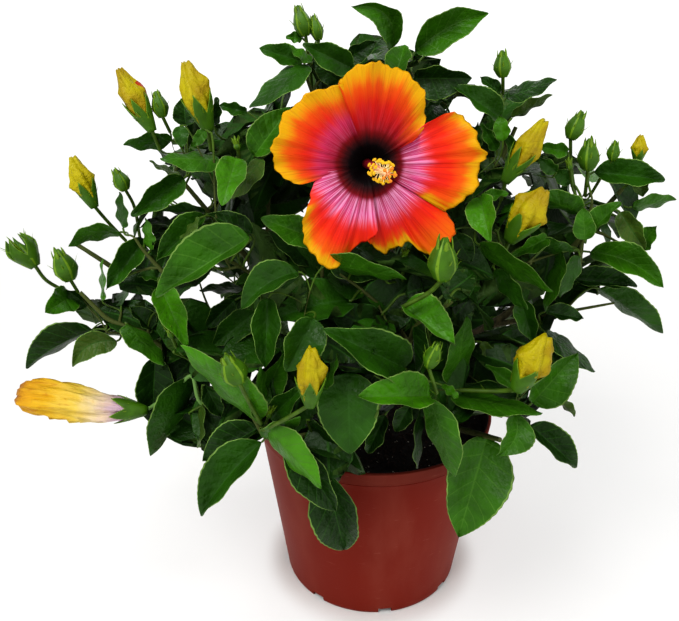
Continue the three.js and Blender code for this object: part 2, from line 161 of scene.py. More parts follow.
# Leading leaves. Each row: base and tip in the view, how far the blade spreads to the
# left and right of its midrib there, how far out (y, millimetres) the base and the tip
# are, the tone, and how far the midrib bows to the left if it does. The tones are partly
# painted light: bright and mid for lit leaves, deep and dark as painted shade for leaves in shade.
LEADING_LEAVES = (
    (242,289, 199,290, 4,7, -60,-66, "dark"), (244,296, 206,338, 15,13, -58,-70, "dark"),
    (393,48, 351,7, 16,10, -30,-45, "mid", -18), (415,52, 489,13, 16,17, -20,-20, "mid", 6),
    (396,76, 405,44, 16,9, -62,-50, "mid"), (345,60, 377,41, 8,10, -35,-35, "dark"),
    (352,68, 303,44, 13,14, -50,-62, "deep"), (303,62, 259,48, 8,12, -35,-40, "deep"),
    (312,62, 289,46, 5,5, -45,-48, "mid"), (302,38, 286,37, 5,6, -30,-34, "mid"),
    (308,64, 250,108, 12,11, -45,-70, "deep"), (254,156, 290,107, 20,10, -85,-80, "mid"),
    (236,158, 222,205, 14,16, -105,-135, "bright"), (262,158, 232,200, 10,8, -90,-105, "olive"),
    (220,160, 160,158, 13,7, -95,-110, "mid"), (247,112, 219,105, 6,6, -70,-70, "deep"),
    (186,126, 183,97, 12,12, -58,-55, "dark"), (214,125, 217,97, 5,6, -60,-58, "dark"),
    (180,126, 182,148, 8,8, -95,-100, "deep"), (205,130, 193,147, 6,6, -98,-102, "mid"),
    (172,140, 123,145, 8,9, -60,-72, "deep"), (181,177, 149,161, 3,3, -70,-75, "olive"),
    (184,178, 131,216, 13,12, -70,-90, "deep"), (150,250, 146,218, 5,6, -85,-85, "mid"),
    (120,232, 68,247, 8,9, -55,-65, "mid", -6), (123,228, 119,192, 5,6, -60,-60, "deep"),
    (145,239, 106,290, 10,14, -70,-95, "deep"), (102,300, 102,259, 2,3, -60,-60, "bright"),
    (72,296, 46,312, 14,15, -45,-85, "mid"), (88,305, 66,289, 12,5, -45,-50, "dark"),
    (162,277, 137,275, 4,7, -85,-85, "deep"), (93,330, 25,369, 5,21, -60,-75, "dark", -4),
    (117,341, 72,367, 13,13, -70,-85, "olive", -10), (127,324, 164,365, 9,13, -90,-115, "mid"),
    (152,330, 129,307, 4,14, -70,-70, "dark"), (160,286, 187,346, 14,14, -110,-130, "bright"),
    (155,358, 152,425, 20,17, -85,-95, "dark"), (190,378, 150,457, 11,19, -100,-125, "deep"),
    (257,422, 181,346, 7,24, -150,-165, "bright"), (258,428, 202,462, 6,22, -130,-135, "dark"),
    (262,442, 200,517, 9,27, -145,-165, "deep", -4), (202,405, 197,449, 5,5, -115,-118, "olive"),
    (205,385, 222,417, 8,10, -115,-115, "dark"), (262,418, 262,367, 12,5, -150,-150, "mid"),
    (268,298, 265,369, 13,15, -130,-150, "deep"), (262,402, 285,352, 10,16, -125,-125, "mid"),
    (270,418, 305,385, 12,10, -135,-135, "deep"), (268,430, 322,488, 19,9, -155,-180, "bright"),
    (265,438, 300,418, 10,8, -150,-160, "mid"), (290,440, 337,512, 13,22, -145,-160, "dark"),
    (325,470, 345,552, 20,26, -122,-118, "dark"), (314,318, 286,372, 24,16, -150,-165, "deep"),
    (325,388, 338,354, 3,5, -150,-150, "mid"), (348,372, 350,455, 30,32, -140,-165, "deep"),
    (385,415, 367,454, 9,9, -130,-132, "dark"), (410,405, 395,432, 9,9, -125,-125, "dark"),
    (420,410, 418,470, 4,5, -125,-125, "dark"), (430,396, 357,397, 11,25, -150,-180, "bright"),
    (430,398, 455,478, 18,13, -150,-165, "mid"), (412,312, 416,374, 14,2, -135,-140, "dark"),
    (403,306, 455,346, 27,3, -140,-170, "bright"), (405,368, 325,330, 18,27, -140,-168, "deep"),
    (328,264, 406,279, 14,5, -125,-150, "mid"), (455,382, 466,317, 13,13, -115,-125, "mid"),
    (450,394, 543,413, 9,12, -130,-145, "mid"), (442,385, 459,398, 5,4, -150,-152, "bright"),
    (516,388, 486,365, 6,11, -120,-125, "mid"), (516,390, 455,386, 3,7, -115,-110, "dark"),
    (532,403, 578,352, 12,23, -115,-110, "mid"), (545,332, 596,372, 8,10, -60,-70, "dark"),
    (557,398, 575,417, 7,2, -70,-70, "olive"), (515,412, 496,456, 19,11, -138,-152, "mid", 10),
    (530,425, 578,468, 19,7, -90,-95, "dark"), (487,437, 458,538, 36,27, -112,-150, "mid"),
    (480,197, 490,241, 12,18, -105,-130, "bright"), (480,200, 509,193, 8,3, -100,-100, "mid"),
    (480,245, 553,291, 10,10, -105,-140, "mid"), (495,270, 527,310, 9,9, -100,-115, "deep"),
    (455,235, 472,262, 12,12, -95,-98, "dark"), (562,252, 545,312, 8,8, -75,-85, "mid"),
    (580,256, 560,298, 7,9, -70,-80, "deep"), (545,312, 584,319, 12,4, -60,-60, "dark"),
    (573,280, 638,286, 17,4, -45,-50, "dark"), (590,252, 664,288, 18,11, -55,-75, "mid", 8),
    (600,288, 664,334, 18,6, -50,-60, "deep"), (590,232, 621,202, 15,4, -75,-80, "mid"),
    (585,240, 583,207, 11,11, -85,-85, "mid"), (580,213, 528,192, 6,15, -75,-85, "mid"),
    (620,212, 645,250, 10,12, -60,-70, "olive"), (640,246, 657,226, 12,9, -40,-50, "mid"),
    (594,172, 666,180, 17,9, -40,-45, "deep"), (632,207, 677,199, 9,5, -35,-35, "mid"),
    (640,178, 643,197, 7,8, -38,-40, "olive"), (572,182, 551,170, 8,8, -60,-62, "deep"),
    (568,152, 538,146, 7,7, -65,-68, "mid"), (556,172, 538,157, 8,6, -80,-82, "deep"),
    (414,78, 472,78, 11,22, -52,-60, "dark"), (425,107, 448,99, 2,2, -60,-62, "dark"),
    (500,118, 455,86, 5,18, -55,-62, "deep"), (500,93, 480,77, 4,8, -45,-47, "dark"),
    (506,98, 557,79, 8,9, -50,-55, "dark"), (512,118, 553,95, 8,3, -55,-57, "olive"),
    (503,141, 500,115, 9,8, -70,-66, "bright"), (497,150, 481,123, 6,6, -65,-65, "deep"),
    (520,158, 506,134, 7,7, -65,-65, "deep"), (475,150, 478,122, 6,6, -60,-60, "dark"),
    (548,238, 512,256, 8,8, -85,-95, "mid"), (530,245, 575,250, 9,6, -80,-84, "deep"),
    (255,312, 212,346, 14,14, -105,-115, "deep"), (235,300, 206,328, 10,10, -95,-98, "dark"),
    (206,216, 156,262, 6,18, -95,-115, "deep"), (250,237, 155,297, 6,34, -120,-145, "mid"),
    (206,213, 158,211, 2,9, -80,-82, "dark"), (252,234, 207,214, 4,14, -100,-105, "dark"),
    (318,240, 261,218, 14,16, -95,-105, "mid"), (312,262, 268,232, 10,10, -76,-88, "dark"),
    (330,262, 386,276, 10,14, -96,-104, "dark"), (298,272, 241,310, 8,22, -125,-142, "deep", -7),
    (200,218, 180,240, 4,3, -112,-116, "olive"), (340,82, 312,62, 10,8, -40,-42, "dark"),
    (310,420, 344,452, 5,5, -150,-152, "dark"), (520,298, 534,343, 10,11, -80,-90, "deep"),
    (482,342, 492,360, 6,5, -100,-102, "olive"),
)

# Buds and small heads. Each row: kind, tip and base in the view, breadth there, how far
# out it is, and the points where its stalk runs on to from the base.
BUDS = (
    ("flushed", 119,69, 153,132, 25, -72, 160,150), ("flushed", 185,62, 209,132, 30, -78, 211,150),
    ("yellow", 72,157, 95,208, 23, -52, 108,222, 126,241), ("yellow", 545,120, 504,183, 26, -85, 501,200),
    ("yellow", 546,190, 508,242, 35, -112, 500,262),
    ("yellow", 311,348, 310,407, 30, -172, 284,420, 263,430),
    ("yellow", 547,336, 516,391, 36, -152, 500,391, 460,390),
    ("yellow", 641,135, 637,164, 15, -42, 632,180), ("green", 297,4, 306,37, 19, -36, 309,60, 312,90),
    ("green", 313,14, 319,41, 14, -34, 316,66, 318,90), ("green", 502,49, 503,78, 18, -50, 503,94),
    ("green", 583,110, 570,140, 19, -50, 571,165, 576,200), ("green", 590,137, 588,171, 22, -55, 585,196),
    ("green", 616,140, 612,161, 13, -46, 602,176, 590,196), ("green", 155,90, 163,118, 17, -66, 170,132),
    ("green", 114,168, 126,191, 17, -60, 134,206, 140,238),
    ("split", 10,233, 36,267, 30, -50, 46,280, 63,290, 82,300),
    ("green", 56,248, 71,281, 24, -60, 78,292), ("green", 445,236, 442,281, 31, -166, 430,292, 403,307),
    ("green", 439,341, 428,368, 18, -166, 437,393),
    ("green", 225,354, 240,384, 28, -172, 250,404, 261,424),
    ("tuft", 234,134, 238,150, 18, -100, 240,160), ("tuft", 229,157, 235,168, 20, -104, 240,176),
    ("tuft", 167,322, 172,338, 18, -128, 178,350), ("tuft", 406,246, 404,260, 20, -112, 402,285),
    ("tuft", 272,404, 268,418, 16, -150, 264,430), ("tuft", 568,156, 570,170, 14, -70, 572,186),
)

# Stems that show between the leaves: how far out they are, the thickness (millimetres)
# at the root end, and their points in the view from that end.
LEADING_TWIGS = (
    (-72, 5.0, 165,352, 146,334, 127,327, 108,319, 95,307, 80,292),
    (-86, 3.6, 163,272, 150,258, 141,247, 135,238), (-96, 4.2, 325,312, 323,294, 322,268),
    (-112, 3.2, 396,324, 385,311, 362,290, 340,274), (-106, 3.4, 397,332, 399,308, 397,283),
    (-62, 3.6, 580,262, 581,246, 586,232, 592,204), (-44, 2.6, 312,92, 308,82, 304,70),
    (-56, 2.0, 214,318, 204,296, 196,270), (-148, 4.4, 262,432, 258,425, 250,412),
)

# The spent flower hangs on its stalk: view points from the calyx back to the twig.
SPENT_STALK = ((138,406), (153,406), (170,393), (188,377))

# Open sky that shows through the crown: centre in the view and radius.
GAPS = (
    (183,195,15), (203,203,7), (167,206,6), (577,184,8), (600,190,8), (607,196,6), (517,186,8),
    (300,90,9), (460,108,10), (478,120,6), (197,290,6), (203,308,9), (203,325,7), (218,282,8),
    (230,283,6), (595,240,8), (587,249,6), (500,430,8), (487,378,7), (400,452,26), (375,455,12),
    (425,455,12), (143,258,6), (475,428,10),
)

# The edge that the shrub's own leaves keep inside, seen from the front.
CROWN_EDGE = in_pairs((
    300,45, 332,45, 372,22, 398,46, 432,32, 466,22, 446,70, 500,84, 545,86, 514,116, 516,150, 560,150,
    600,166, 654,176, 638,200, 650,240, 652,276, 604,266, 642,312, 582,292, 560,330, 588,364, 560,400,
    574,455, 520,440, 502,500, 460,522, 448,480, 345,480, 332,520, 300,480, 262,432, 212,500, 205,450,
    160,440, 145,390, 160,355, 120,345, 60,350, 90,325, 58,308, 75,290, 110,290, 140,250, 92,240, 130,225,
    150,190, 170,178, 135,143, 174,138, 186,112, 248,108,
))


# ---- node expressions


def paint(red, green, blue):
    """A linear colour from the three screen values, 0 to 255."""
    values = (red / 255, green / 255, blue / 255)
    linear = [v / 12.92 if v <= 0.04045 else ((v + 0.055) / 1.055) ** 2.4 for v in values]
    return (*linear, 1.0)


def darker(colour, share):
    return [value * share for value in colour[:3]] + [1.0]


class Wire:
    """One output of a node. Arithmetic on it adds Math nodes."""

    def __init__(self, web, socket):
        self.web = web
        self.socket = socket

    def output(self, name):
        return Wire(self.web, self.socket.node.outputs[name])

    def __add__(self, other):
        return self.web.maths("ADD", self, other)

    def __sub__(self, other):
        return self.web.maths("SUBTRACT", self, other)

    def __rsub__(self, other):
        return self.web.maths("SUBTRACT", other, self)

    def __mul__(self, other):
        return self.web.maths("MULTIPLY", self, other)

    def __truediv__(self, other):
        return self.web.maths("DIVIDE", self, other)

    __radd__ = __add__
    __rmul__ = __mul__


class Web:
    """A shader or geometry node tree, written as expressions."""

    def __init__(self, tree):
        self.tree = tree

    def node(self, kind, sockets=None, out=0, **settings):
        """Its settings come first, then the values or links of its sockets."""
        made = self.tree.nodes.new(kind)
        for name, value in settings.items():
            if name == "stops":
                self.set_stops(made.color_ramp, value)
            else:
                setattr(made, name, value)
        for name, value in (sockets or {}).items():
            if isinstance(value, Wire):
                self.tree.links.new(value.socket, made.inputs[name])
            else:
                made.inputs[name].default_value = value
        return Wire(self, made.outputs[out]) if made.outputs else None

    def set_stops(self, ramp, stops):
        while len(ramp.elements) < len(stops):
            ramp.elements.new(0.5)
        for element, (place, colour) in zip(ramp.elements, stops):
            element.position = place
            element.color = colour

    def geo(self, kind, sockets=None, out=0, **settings):
        return self.node("GeometryNode" + kind, sockets, out, **settings)

    def maths(self, operation, first, second=0.0):
        return self.node("ShaderNodeMath", {0: first, 1: second}, operation=operation)

    def vector(self, operation, first, second=(0, 0, 0), out=0):
        return self.node("ShaderNodeVectorMath", {0: first, 1: second}, out, operation=operation)

    def scaled(self, vector, amounts):
        return self.vector("MULTIPLY", vector, amounts)

    def reach(self, vector):
        """The length of a vector."""
        return self.vector("LENGTH", vector, out="Value")

    def triple(self, x=0.0, y=0.0, z=0.0):
        return self.node("ShaderNodeCombineXYZ", {0: x, 1: y, 2: z})

    def upward(self, vector):
        """The Z part of a vector."""
        return self.node("ShaderNodeSeparateXYZ", {0: vector}, "Z")

    def rise(self, value, low, high):
        """0 below low, 1 above high, with a soft step. It falls if low is the higher."""
        limits = {0: value, 1: low, 2: high}
        return self.node("ShaderNodeMapRange", limits, interpolation_type="SMOOTHSTEP")

    def blend(self, factor, first, second):
        return self.node("ShaderNodeMix", {0: factor, 6: first, 7: second}, 2, data_type="RGBA")

    def ramp(self, factor, stops):
        painted = [(place, paint(*tone)) for place, tone in stops]
        return self.node("ShaderNodeValToRGB", {0: factor}, stops=painted)

    def noise(self, vector, scale, detail=2.0, distortion=0.0):
        return self.node("ShaderNodeTexNoise", {0: vector, 2: scale, 3: detail, 8: distortion})

    def place(self):
        """Object coordinates."""
        return self.node("ShaderNodeTexCoord", None, "Object")

    def carried(self, name):
        """A number that the mesh carries at its points."""
        return self.node("ShaderNodeAttribute", None, "Fac", attribute_name=name)


class Finish:
    """What a surface shows: colour, drifting roughness and relief."""

    def __init__(self, web, colour, roughness, drift, amount, height, depth):
        self.sockets = {
            "Base Color": colour,
            "Roughness": roughness + (drift - 0.5) * amount,
            "Normal": web.node("ShaderNodeBump", {0: 1.0, 1: depth, 3: height}),
        }


def material(name, specular, pattern, **steady):
    """Steady numbers go on the shader itself; a pattern gives the rest."""
    made = bpy.data.materials.new(name)
    made.use_nodes = True
    made.node_tree.nodes.clear()
    web = Web(made.node_tree)
    sockets = {"Specular IOR Level": specular, **steady, **pattern(web).sockets}
    shader = web.node("ShaderNodeBsdfPrincipled", sockets)
    web.node("ShaderNodeOutputMaterial", {"Surface": shader})
    return made


def geometry_tree(name, sizes, finish, build):
    """A tree with a named input for each size, which ends in its finish."""
    tree = bpy.data.node_groups.new(name, "GeometryNodeTree")
    for way in ("INPUT", "OUTPUT"):
        tree.interface.new_socket("Geometry", in_out=way, socket_type="NodeSocketGeometry")
    for label, default in sizes.items():
        kind = "NodeSocketInt" if isinstance(default, int) else "NodeSocketFloat"
        tree.interface.new_socket(label, in_out="INPUT", socket_type=kind).default_value = default
    web = Web(tree)
    entry = web.node("NodeGroupInput")
    whole = build(web, entry, *(entry.output(label) for label in sizes))
    whole = web.geo("RealizeInstances", {0: whole})
    whole = web.geo("SetMaterial", {0: whole, "Material": finish})
    web.node("NodeGroupOutput", {0: whole})
    return tree


def grown(name, base, tree, sizes):
    """A piece with the plain mesh that a geometry tree grows from a base."""
    piece = placed(name, base)
    modifier = piece.modifiers.new("growth", "NODES")
    modifier.node_group = tree
    for item in tree.interface.items_tree:
        if item.in_out == "INPUT" and item.name in sizes:
            modifier[item.identifier] = sizes[item.name]
    graph = bpy.context.evaluated_depsgraph_get()
    whole = piece.evaluated_get(graph)
    mesh = bpy.data.meshes.new_from_object(whole, preserve_all_data_layers=True, depsgraph=graph)
    piece.modifiers.clear()
    piece.data = mesh
    mesh.name = name
    bpy.data.meshes.remove(base)
    return piece


def placed(name, data):
    made = bpy.data.objects.new(name, data)
    bpy.context.scene.collection.objects.link(made)
    return made


def carry(mesh, label, values):
    mesh.attributes.new(label, "FLOAT", "POINT").data.foreach_set("value", values)


def route_mesh(name, routes):
    """Edges along routes of (points, radii), which carry the radius."""
    places = []
    edges = []
    radii = []
    for points, thickness in routes:
        start = len(places)
        places.extend(map(tuple, points))
        radii.extend(thickness)
        edges.extend((start + step, start + step + 1) for step in range(len(points) - 1))
    mesh = bpy.data.meshes.new(name)
    mesh.from_pydata(places, edges, [])
    carry(mesh, "radius", radii)
    return mesh


def mesh_piece(name, places, faces, materials, slots=None):
    """A smooth piece from points and faces, with a slot for each face."""
    mesh = bpy.data.meshes.new(name)
    mesh.from_pydata(np.asarray(places).tolist(), [], faces)
    for each in materials:
        mesh.materials.append(each)
    if slots is not None:
        mesh.polygons.foreach_set("material_index", np.asarray(slots, dtype=np.int32))
    mesh.polygons.foreach_set("use_smooth", [True] * len(mesh.polygons))
    return placed(name, mesh)


def settle(piece, slot, *nodes):
    """It rides on the pot and stands for its solids. Its slot is not used."""
    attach(piece, "root")
    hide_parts(*nodes)


class Assembly:
    """Many small shapes gathered into one piece."""

    def __init__(self):
        self.places = []
        self.faces = []
        self.slots = []
        self.count = 0

    def add(self, places, faces, slots):
        start = self.count
        self.places.append(places)
        self.faces.extend(tuple(corner + start for corner in face) for face in faces)
        self.slots.extend(slots)
        self.count += len(places)

    def piece(self, name, materials):
        return mesh_piece(name, np.concatenate(self.places), self.faces, materials, self.slots)


def tube_faces(ring_count, corner_count):
    """Faces of a closed skin: a pole, its rings and a last pole."""
    last = 1 + ring_count * corner_count
    faces = []
    for corner in range(corner_count):
        after = (corner + 1) % corner_count
        faces.append((0, 1 + after, 1 + corner))
        for ring in range(ring_count - 1):
            low = 1 + ring * corner_count
            high = low + corner_count
            faces.append((low + corner, low + after, high + after, high + corner))
        top = last - corner_count
        faces.append((top + corner, top + after, last))
    return faces


# ---- routes


def drawn(at, start, end, first, second):
    """The point at a knot between points at the knots start and end."""
    return (end - at) / (end - start) * first + (at - start) / (end - start) * second


def smooth_route(points, count):
    """Evenly spaced points on a curve through a few points."""
    points = np.asarray(points, dtype=float)
    whole = np.vstack([2 * points[0] - points[1], points, 2 * points[-1] - points[-2]])
    fine = []
    for start in range(len(points) - 1):
        near = whole[start : start + 4]
        gaps = [max(norm(after - before), 1e-9) ** 0.5 for before, after in zip(near, near[1:])]
        k = np.cumsum([0.0, *gaps])
        for at in np.linspace(k[1], k[2], 24, endpoint=start == len(points) - 2):
            ab, bc, cd = (drawn(at, k[i], k[i + 1], near[i], near[i + 1]) for i in range(3))
            left = drawn(at, k[0], k[2], ab, bc)
            right = drawn(at, k[1], k[3], bc, cd)
            fine.append(drawn(at, k[1], k[2], left, right))
    return evenly(np.array(fine), count)


def lengthwise(points):
    """How far along a route each of its points is."""
    return np.concatenate([[0], np.cumsum(norm(np.diff(points, axis=0), axis=1))])


def at_knot(wanted, knots, points):
    return np.stack([np.interp(wanted, knots, points[:, axis]) for axis in range(3)], axis=-1)


def evenly(points, count):
    """The same route with its points at even spacing."""
    along = lengthwise(points)
    return at_knot(np.linspace(0, along[-1], count), along, points)


def arc(start, start_pull, end, end_pull, count):
    """A curve that leaves along start_pull and arrives along end_pull."""
    share = np.linspace(0, 1, count)[:, None]
    first = start + start_pull
    second = end - end_pull
    return (
        (1 - share) ** 3 * start
        + 3 * (1 - share) ** 2 * share * first
        + 3 * (1 - share) * share**2 * second
        + share**3 * end
    )


def share_of(count):
    return np.linspace(0, 1, count)


def bowed(start, end, bow, count):
    """A route that bows outward and down, by bow millimetres."""
    halfway = (start + end) / 2
    outward = unit(np.array([halfway[0], halfway[1], 0]))
    return smooth_route([start, halfway + (outward - UPRIGHT) * bow * MM, end], count)


def limb_routes():
    """Each limb's route and radii in metres, parents first, as the solids have them."""
    foot = SOIL_LEVEL - STEM["foot"] / 2
    fork = STEM["fork_height"]
    middle = (STEM["lean"] * 0.3, 0, (foot + fork) / 2)
    stem = smooth_route([(0, 0, foot), middle, (STEM["lean"], 0, fork)], 30)
    flare = [STEM["foot"], (STEM["foot"] + STEM["waist"]) / 2, STEM["waist"], STEM["fork"]]
    limbs = {"stem": (stem * MM, np.interp(share_of(30), [0, 0.2, 0.4, 1], flare) * MM)}
    for name, (parent, at, bow) in BOUGHS.items():
        points, radii = limbs[parent]
        index = at * (len(points) - 1)
        stations = np.arange(len(points))
        start = at_knot(index, stations, points)
        root = LIMB["root_share"] * np.interp(index, stations, radii)
        taper = np.linspace(root, root * LIMB["tip_share"], LIMB["stations"])
        route = bowed(start, np.array(MASSES[name]) * MM, bow, LIMB["stations"])
        limbs[name] = (route, taper)
    return limbs


# ---- the shrub's plan

# How the shrub grows, in millimetres.
TWIG = {"base": 1.1, "per_length": 0.018, "tip": 0.9, "parent_share": 0.7, "step": 5}
# How long a twig keeps its first and last directions: at most these, and this share of it.
TWIG_PULLS, PULL_SHARE = (30, 16), 0.34
# A twig may hide leading things, or show in the sky, at this many of its places.
MOST_FAULTS = 1
PETIOLE = {"radius": 0.8, "leading": 19, "drooping": 60, "own": 17}
SHOOTS_PER_MASS = 12
SHOOT_LEAVES = (30, 42, 52, 60, 66, 68, 64)
LEAF_TRIES = 8
LEAST_LEAF = 0.62
# Leaves that close the outside of each mass: trial places, and how near is near enough.
SHEATH = {"spots": 70, "depth": 0.76, "spacing": 19 * MM}
# Their length, and how much shorter the last try is. Shoot tips: tries, place in a mass.
SHEATH_LEAF, SHEATH_DROP = 72, 32
TIP_TRIALS, TIP_SHARES = 14, (0.25, 0.82)
# Depths (y, millimetres) at which a hole in the main view may be closed.
HOLE_DEPTHS = range(-150, 160, 14)
# How far past its mass's outline a leaf's base and tip may reach, on a shoot or in a hole.
SHOOT_ROOM = 1.1
HOLE_ROOM = 1.5
# The tones of a spray, from its young leaves to its old ones. They are also lit and shaded
# copies of one green, so the darker ones are partly painted shade.
SPRAY_TONES = (
    ("mid", "deep", "deep", "dark"), ("bright", "mid", "deep", "deep"),
    ("deep", "deep", "dark", "dark"), ("deep", "dark", "dark", "olive"),
)
# Painted shade: darker tones for leaves inside the crown and behind the leading leaves, in place of the
# shadow there.
SHADED_TONES = ("deep", "dark", "dark")
# Masses nearer the front than this, in millimetres, have shaded leaves behind the leading ones.
FRONT = 25
# Leaves keep apart: the size of the cells they fill, and the share that two may have in common.
ROOM_CELL = 6 * MM
SHARED_ROOM = 0.16
HOLE_SHARED_ROOM = 0.45
GOLDEN_ANGLE = radians(137.5)
# Cells of the main view, in its points, and how much nearer a thing is that hides another.
CELL = 5
SKY_CELL = 2
DEPTH_SLACK = 3 * MM
NOTHING_NEAR = 10.0
# Rows and columns of the places that a leaf is probed at, coarse to fine.
FIT_PROBE, ROOM_PROBE, COVER_PROBE, LEADING_PROBE = (7, 5), (12, 9), (14, 9), (26, 13)
# Buds of the sides and back. Masses past this depth bear more of them: the shares of
# shoots that end in one there and elsewhere, the share that are yellow, and each kind's
# shortest and longest length and half-breadth.
FAR_FROM = 20
FAR_SHARE, NEAR_SHARE, YELLOW_SHARE = 0.7, 0.12, 0.35
FAR_BUDS = {"yellow": (30, 40, 9.5), "green": (16, 24, 5.5)}
FAR_GAP, FAR_SLACK, FAR_ROOM = 7 * MM, 10 * MM, 1.12
# Which of the nearest places a twig tries to spring from, in order.
START_RANKS = (0, 4, 10, 20, 35, 60, 100)
STEM_TOP = np.array([STEM["lean"], 0, STEM["fork_height"]]) * MM
CROWN_CENTRE = np.array([0, 0, 300]) * MM


@lru_cache(maxsize=None)
def mass_room(name):
    """A mass's middle and half-sizes, from its solid."""
    low, high = map(np.array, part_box(f"foliage_{name}"))
    return (low + high) / 2, (high - low) / 2


def off_middle(place, name):
    """How far a place is from a mass's middle, as a share of its size."""
    middle, half = mass_room(name)
    return float(norm((place - middle) / half))


def nearest_mass(place):
    return min(MASSES, key=lambda name: off_middle(place, name))


def random_way(rng):
    return unit(np.array([rng.gauss(0, 1) for _ in range(3)]))


def square_to(way, vector):
    """The part of a vector square to a way, at length 1."""
    return unit(vector - way * (way @ vector))


class Skeleton:
    """The points of all that has grown, which new twigs spring from."""

    def __init__(self):
        self.places = np.zeros((0, 3))
        self.ways = np.zeros((0, 3))
        self.radii = np.zeros(0)

    def add(self, points, radii):
        ways = np.gradient(points, axis=0)
        ways /= np.maximum(norm(ways, axis=1, keepdims=True), 1e-9)
        self.places = np.vstack([self.places, points])
        self.ways = np.vstack([self.ways, ways])
        self.radii = np.concatenate([self.radii, radii])

    def starts(self, target):
        """Where a twig may spring: near the target, and further in."""
        offsets = target - self.places
        inward = offsets @ unit(target - STEM_TOP)
        low = self.places[:, 2] < (SOIL_LEVEL + 20) * MM
        order = np.argsort(norm(offsets, axis=1) - 0.35 * inward + low)
        for rank in START_RANKS:
            chosen = int(order[rank])
            yield self.places[chosen], self.ways[chosen], self.radii[chosen]


def twig_to(skeleton, end, arrival, spare, screen):
    """A twig to a place, hiding as little as it can: its wood, its stalk, and its faults."""
    fewest = None
    for start, way, parent in skeleton.starts(end):
        distance = float(norm(end - start))
        heading = unit(way * 0.6 + unit(end - start) + UPRIGHT * 0.15)
        count = max(8, int(distance / (TWIG["step"] * MM)))
        leave, arrive = (min(distance * PULL_SHARE, pull * MM) for pull in TWIG_PULLS)
        points = evenly(arc(start, heading * leave, end, arrival * arrive, count), count)
        faults = screen.faults(points[1:])
        if fewest is None or faults < fewest[0]:
            fewest = (faults, points, parent)
        if faults == 0:
            break
    faults, points, parent = fewest
    count = len(points)
    total = lengthwise(points)[-1]
    split = count if spare <= 0 else int((count - 1) * max(0.0, 1 - spare / total)) + 1
    thick = min(TWIG["parent_share"] * parent, TWIG["base"] * MM + TWIG["per_length"] * total)
    thin = min(thick, TWIG["tip"] * MM)
    wood = (points[:split], np.linspace(thick, thin, split)) if split > 2 else None
    first = split - 1 if wood else 0
    stalk = None
    if spare > 0 and first < count - 1:
        end_radius = PETIOLE["radius"] * MM
        radii = np.linspace(min(thin * 1.1, 1.3 * end_radius), end_radius, count - first)
        stalk = (points[first:], radii)
    return wood, stalk, faults


def dot_size(place):
    """How large one point of the view is at a place, in metres."""
    return float((place - EYE) @ AHEAD) / FOCAL_DOTS


# A leading leaf's least spread in view points, its least half-breadth as a share of its
# length, the slack on its spreads, and how wide its halves may open.
LEAST_SPREAD, LEAST_HALF, SPREAD_SLACK, WIDEST = 1.5, 0.3, 1.03, radians(104)


def leading_leaf(index, row, bow=0):
    """A leading leaf's place, size and folds from how it is seen."""
    *dots, spread_left, spread_right, base_out, tip_out, tone = row
    base = sight(dots[:2], base_out)
    tip = sight(dots[2:], tip_out)
    length = float(norm(tip - base))
    along = (tip - base) / length
    middle = (base + tip) / 2
    per_dot = dot_size(middle)
    spreads = [max(each, LEAST_SPREAD) * per_dot for each in (spread_left, spread_right)]
    half = max(LEAST_HALF * length, *(SPREAD_SLACK * each for each in spreads))
    lifts = [acos(each / half) for each in spreads]
    if sum(lifts) > WIDEST:
        folded = 0 if lifts[0] > lifts[1] else 1
        lifts[folded] = -lifts[folded]
    return SimpleNamespace(
        base=base, along=along, face=square_to(along, EYE - middle), length=length, half=half,
        lifts=lifts, bow=bow * per_dot, arch=0.05, droop=0.03, phase=index * 2.4, tone=tone,
        mass=nearest_mass(base * 0.6 + tip * 0.4),
    )


def own_leaf(base, along, face, length, mass, tone, rng, room=SHOOT_ROOM):
    """A leaf drawn in until it stays in its mass, or none."""
    least = length * LEAST_LEAF
    while off_middle(base + along * length, mass) > room:
        length *= 0.93
        if length < least:
            return None
    roll = rng.uniform(-0.5, 0.5)
    face = square_to(along, face + random_way(rng) * 0.1)
    face = face * cos(roll) + np.cross(along, face) * sin(roll)
    lift = radians(rng.uniform(8, 28))
    return SimpleNamespace(
        base=base, along=along, face=face, length=length, half=length * rng.uniform(0.32, 0.39),
        lifts=(lift, lift + radians(rng.uniform(-7, 7))), bow=length * rng.uniform(-0.05, 0.05),
        arch=rng.uniform(0.03, 0.08), droop=rng.uniform(0.05, 0.14), phase=rng.uniform(0, 6.28),
        tone=tone, mass=mass,
    )


def inside(dots, edge):
    """Whether each point of the view lies inside an outline."""
    across, down = dots[:, 0], dots[:, 1]
    hits = np.zeros(len(dots), dtype=bool)
    for (x0, y0), (x1, y1) in zip(edge, edge[1:] + edge[:1]):
        spans = (y0 > down) != (y1 > down)
        rise = (y1 - y0) or 1e-9
        hits ^= spans & (across < (x1 - x0) * (down - y0) / rise + x0)
    return hits


def cell_middles(size):
    """The middles of square cells over the main view."""
    counts = (np.arange(extent // size + 2) for extent in VIEW_DOTS)
    return np.stack(np.meshgrid(*counts, indexing="ij"), axis=-1) * size + size / 2


def cell_of(dots, size, grid):
    return tuple(np.clip((dots / size).astype(int), 0, np.array(grid.shape) - 1).T)


